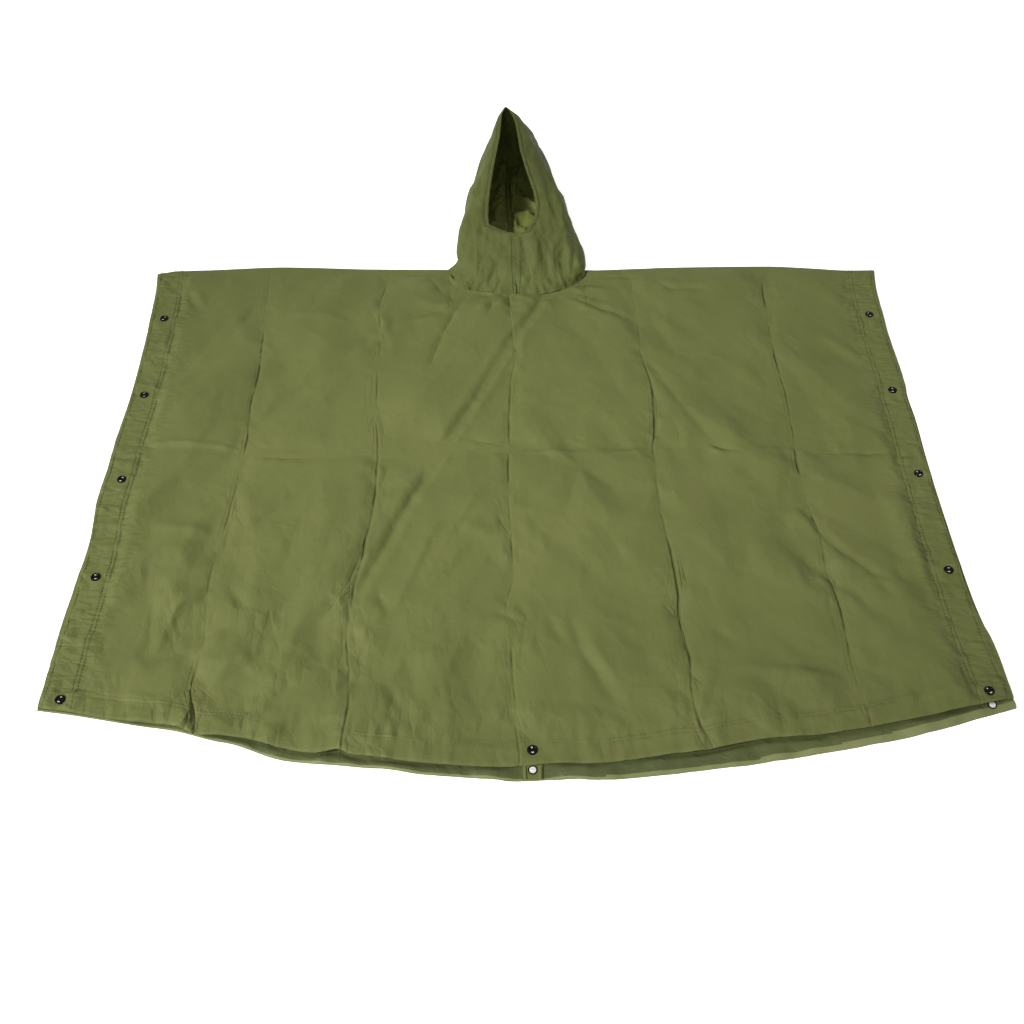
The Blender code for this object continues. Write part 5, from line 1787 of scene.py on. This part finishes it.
row_places = hood_places()
throat_rows = np.flatnonzero((row_places > THROAT_ROW_START) & (row_places < CHIN_ROW - PAST_CHIN))
rim_rows = np.flatnonzero((row_places > CHIN_ROW + PAST_CHIN) & (row_places < RIM_ROW_END))
hood_routes = [
    hood_route(*half, rows, distance)
    for half in ((left_outer, left_from_front), (right_outer, right_from_front))
    for rows, distance in ((throat_rows, THROAT_BAND - THROAT_ROW_IN), (rim_rows, RIM_WIDTH - RIM_ROW_IN))
]
sew("hood_stitching", hood_routes, dark_thread, HOOD_THREAD_THICKNESS)


# -------- hem tab
# A folded tab of the same taffeta sewn inside the middle of the back hem. It carries the press stud's
# socket, and its folded sides stand up a little on either side of it.

TAB_WIDTH = 0.029
TAB_LENGTH = 0.032
TAB_WALL = 0.0010
TAB_TAPER = 0.06
TAB_FOLD = 0.0024
TAB_ROWS = 40
TAB_COLUMNS = 40

tab_across, tab_along = np.meshgrid(
    np.linspace(-0.5, 0.5, TAB_COLUMNS + 1), np.linspace(0.0, 1.0, TAB_ROWS + 1)
)
tab_x = HEM_STUD_X + TAB_WIDTH * tab_across * (1.0 - TAB_TAPER * tab_along**2)
tab_end = float(along_edge(BACK_HEM_EDGE, np.array([HEM_STUD_X]))[0]) - 0.001
tab_down = tab_end - TAB_LENGTH * (1.0 - tab_along)
tab_folds = TAB_FOLD * (bell(tab_across - 0.40, 0.07) + bell(tab_across + 0.36, 0.05))
tab_folds *= smooth(tab_along, 0.1, 0.6)
tab_under = np.full(tab_x.shape, HEM_WALL + LAYER_GAP)
tab_top = tab_under + TAB_WALL + tab_folds
hem_tab = cloth_shell(
    "back_hem_tab",
    world_points(tab_x, tab_down, tab_top),
    world_points(tab_x, tab_down, tab_under),
    np.stack([tab_x, tab_down], axis=-1),
    outer_taffeta,
)
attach(hem_tab, "root")
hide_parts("hem_tab")


# -------- press studs
# Ring press studs of brass, blackened and lacquered, pressed through the hems. The front's caps have a
# rounded glossy ring round a dish, in which the two ends of a nickel spring show; their near-white nickel is
# partly painted highlight, where the glints fall. The back's sockets have a bright nickel face in a dark
# ring.

CAP_RADIUS = 0.0076
SOCKET_RADIUS = 0.0066
DARK_RING_WIDTH = 0.0019
# The button in the middle of the dish, and the foot of the ring
BUTTON_RADII = (0.0012, 0.0022, 0.0030)
BUTTON_ROUNDING = 0.0001
RING_FOOT = 0.0002
RING_ROUNDING = 0.0003
# The spring's two ends, which are also painted highlights: between these radii, and so far to either side of
# its line, in radians
SPRING_GLINT_RADII = (0.0030, 0.0046)
NEAR_GLINT_END = 0.45
FAR_GLINT_END = 0.28
STUD_STEPS = 40
RING_STEPS = 9


def ring_profile(radius, ring_width, ring_height, dish_height, middle):
    """(radius, height) from the middle of the top, over the ring and down to the foot."""
    heights = (middle - BUTTON_ROUNDING, dish_height + BUTTON_ROUNDING, dish_height)
    profile = [(0.0, middle), *zip(BUTTON_RADII, heights)]
    ring_middle = radius - ring_width / 2.0
    profile.append((radius - ring_width - RING_FOOT, dish_height))
    for step in range(RING_STEPS + 1):
        turn = math.pi * (1.0 - step / RING_STEPS)
        rise = math.sin(turn)
        foot = dish_height if step < RING_STEPS / 2 else RING_FOOT
        profile.append((ring_middle + 0.5 * ring_width * math.cos(turn), blend(foot, ring_height, rise)))
    return [*profile, (radius - RING_ROUNDING, 0.0), (0.0, 0.0)]


def turned_mesh(name, profile, place):
    """A round mesh from its profile, standing at a place."""
    rings = profile[1:-1]
    turns = [2.0 * math.pi * step / STUD_STEPS for step in range(STUD_STEPS)]
    points = [(r * math.cos(turn), r * math.sin(turn), z) for r, z in rings for turn in turns]
    points += [(0.0, 0.0, profile[0][1]), (0.0, 0.0, profile[-1][1])]
    top, foot = len(points) - 2, len(points) - 1
    faces = []
    for step in range(STUD_STEPS):
        after = (step + 1) % STUD_STEPS
        faces.append((top, step, after))
        for ring in range(len(rings) - 1):
            low, high = ring * STUD_STEPS, (ring + 1) * STUD_STEPS
            faces.append((low + after, low + step, high + step, high + after))
        last = (len(rings) - 1) * STUD_STEPS
        faces.append((last + after, last + step, foot))
    mesh = bpy.data.meshes.new(name)
    mesh.from_pydata([tuple(a + b for a, b in zip(point, place)) for point in points], [], faces)
    mesh.shade_smooth()
    mesh.set_sharp_from_angle(angle=math.radians(50))
    return mesh


def worn_metal(name, dark_hex, light_hex, grain, detail, gloss, metallic, rub_and_painted_shade=None):
    """Metal in two tones, with a fine grain of wear. Its last argument is the part of the grain where the
    tones meet.
    """
    made, tree, shader = new_material(name)
    place = add_node(tree, "ShaderNodeTexCoord").outputs["Object"]
    wear = add_node(
        tree, "ShaderNodeTexNoise", values={"Scale": grain, "Detail": detail}, links={"Vector": place}
    ).outputs["Fac"]
    share = wear
    if rub_and_painted_shade:
        share = add_node(
            tree, "ShaderNodeMapRange",
            values={"From Min": rub_and_painted_shade[0], "From Max": rub_and_painted_shade[1]},
            links={"Value": wear},
        ).outputs["Result"]
    tone = add_node(
        tree, "ShaderNodeMix", {"data_type": "RGBA"},
        {"A": linear(dark_hex), "B": linear(light_hex)},
        {"Factor": share},
    )
    roughness = add_node(
        tree, "ShaderNodeMapRange", values={"To Min": gloss[0], "To Max": gloss[1]}, links={"Value": wear}
    )
    tree.links.new(tone.outputs["Result"], shader.inputs["Base Color"])
    tree.links.new(roughness.outputs["Result"], shader.inputs["Roughness"])
    shader.inputs["Metallic"].default_value = metallic
    return made, shader


# Blackened brass under clear lacquer: near black, glossy, with a little brown where it has rubbed
black_brass, brass_shader = worn_metal(
    "blackened_brass", "#0B0A08", "#1F1810",
    grain=420.0, detail=3.0, gloss=(0.16, 0.28), metallic=0.35, rub_and_painted_shade=(0.52, 0.75),
)
brass_shader.inputs["Specular IOR Level"].default_value = 0.10
brass_shader.inputs["Coat Weight"].default_value = 0.12
brass_shader.inputs["Coat Roughness"].default_value = 0.04
# Nickel plate, bright and a little scuffed from closing
bright_nickel, _ = worn_metal(
    "nickel_plate", "#D4D3CE", "#F2F2F0", grain=700.0, detail=4.0, gloss=(0.22, 0.42), metallic=0.55
)


def fasten(name, profile, finish):
    """A stud piece in the middle of the CAD node's box, with its foot where the node's foot is."""
    low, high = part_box(name)
    place = ((low[0] + high[0]) / 2.0, (low[1] + high[1]) / 2.0, low[2])
    piece = add_piece(name + "_turned", turned_mesh(name, profile, place), finish)
    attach(piece, "root")
    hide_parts(name)
    return piece


cap_profile = ring_profile(
    CAP_RADIUS, ring_width=0.0030, ring_height=0.0021, dish_height=0.0008, middle=0.0015
)
socket_profile = ring_profile(
    SOCKET_RADIUS, ring_width=0.0016, ring_height=0.0012, dish_height=0.0009, middle=0.0016
)
for index, node in enumerate(sorted(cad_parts)):
    if node.startswith("snap_cap"):
        piece = fasten(node, cap_profile, black_brass)
        piece.data.materials.append(bright_nickel)
        # The spring's line is turned another way in each cap
        turned = math.radians(37 * index % 70 - 35)
        for polygon in piece.data.polygons:
            away = polygon.center - piece.data.vertices[-2].co
            round_by = abs(math.remainder(math.atan2(away.x, -away.y) - turned, 2.0 * math.pi))
            at_glint = round_by < NEAR_GLINT_END or round_by > math.pi - FAR_GLINT_END
            in_dish = SPRING_GLINT_RADII[0] < away.xy.length < SPRING_GLINT_RADII[1] and polygon.normal.z > 0.0
            if in_dish and at_glint:
                # Painted highlight: the spring's ends in near-white nickel, where the glints fall
                polygon.material_index = 1
    elif node.startswith("snap_socket"):
        piece = fasten(node, socket_profile, bright_nickel)
        piece.data.materials.append(black_brass)
        for polygon in piece.data.polygons:
            away = polygon.center - piece.data.vertices[-2].co
            if away.xy.length > SOCKET_RADIUS - DARK_RING_WIDTH:
                polygon.material_index = 1
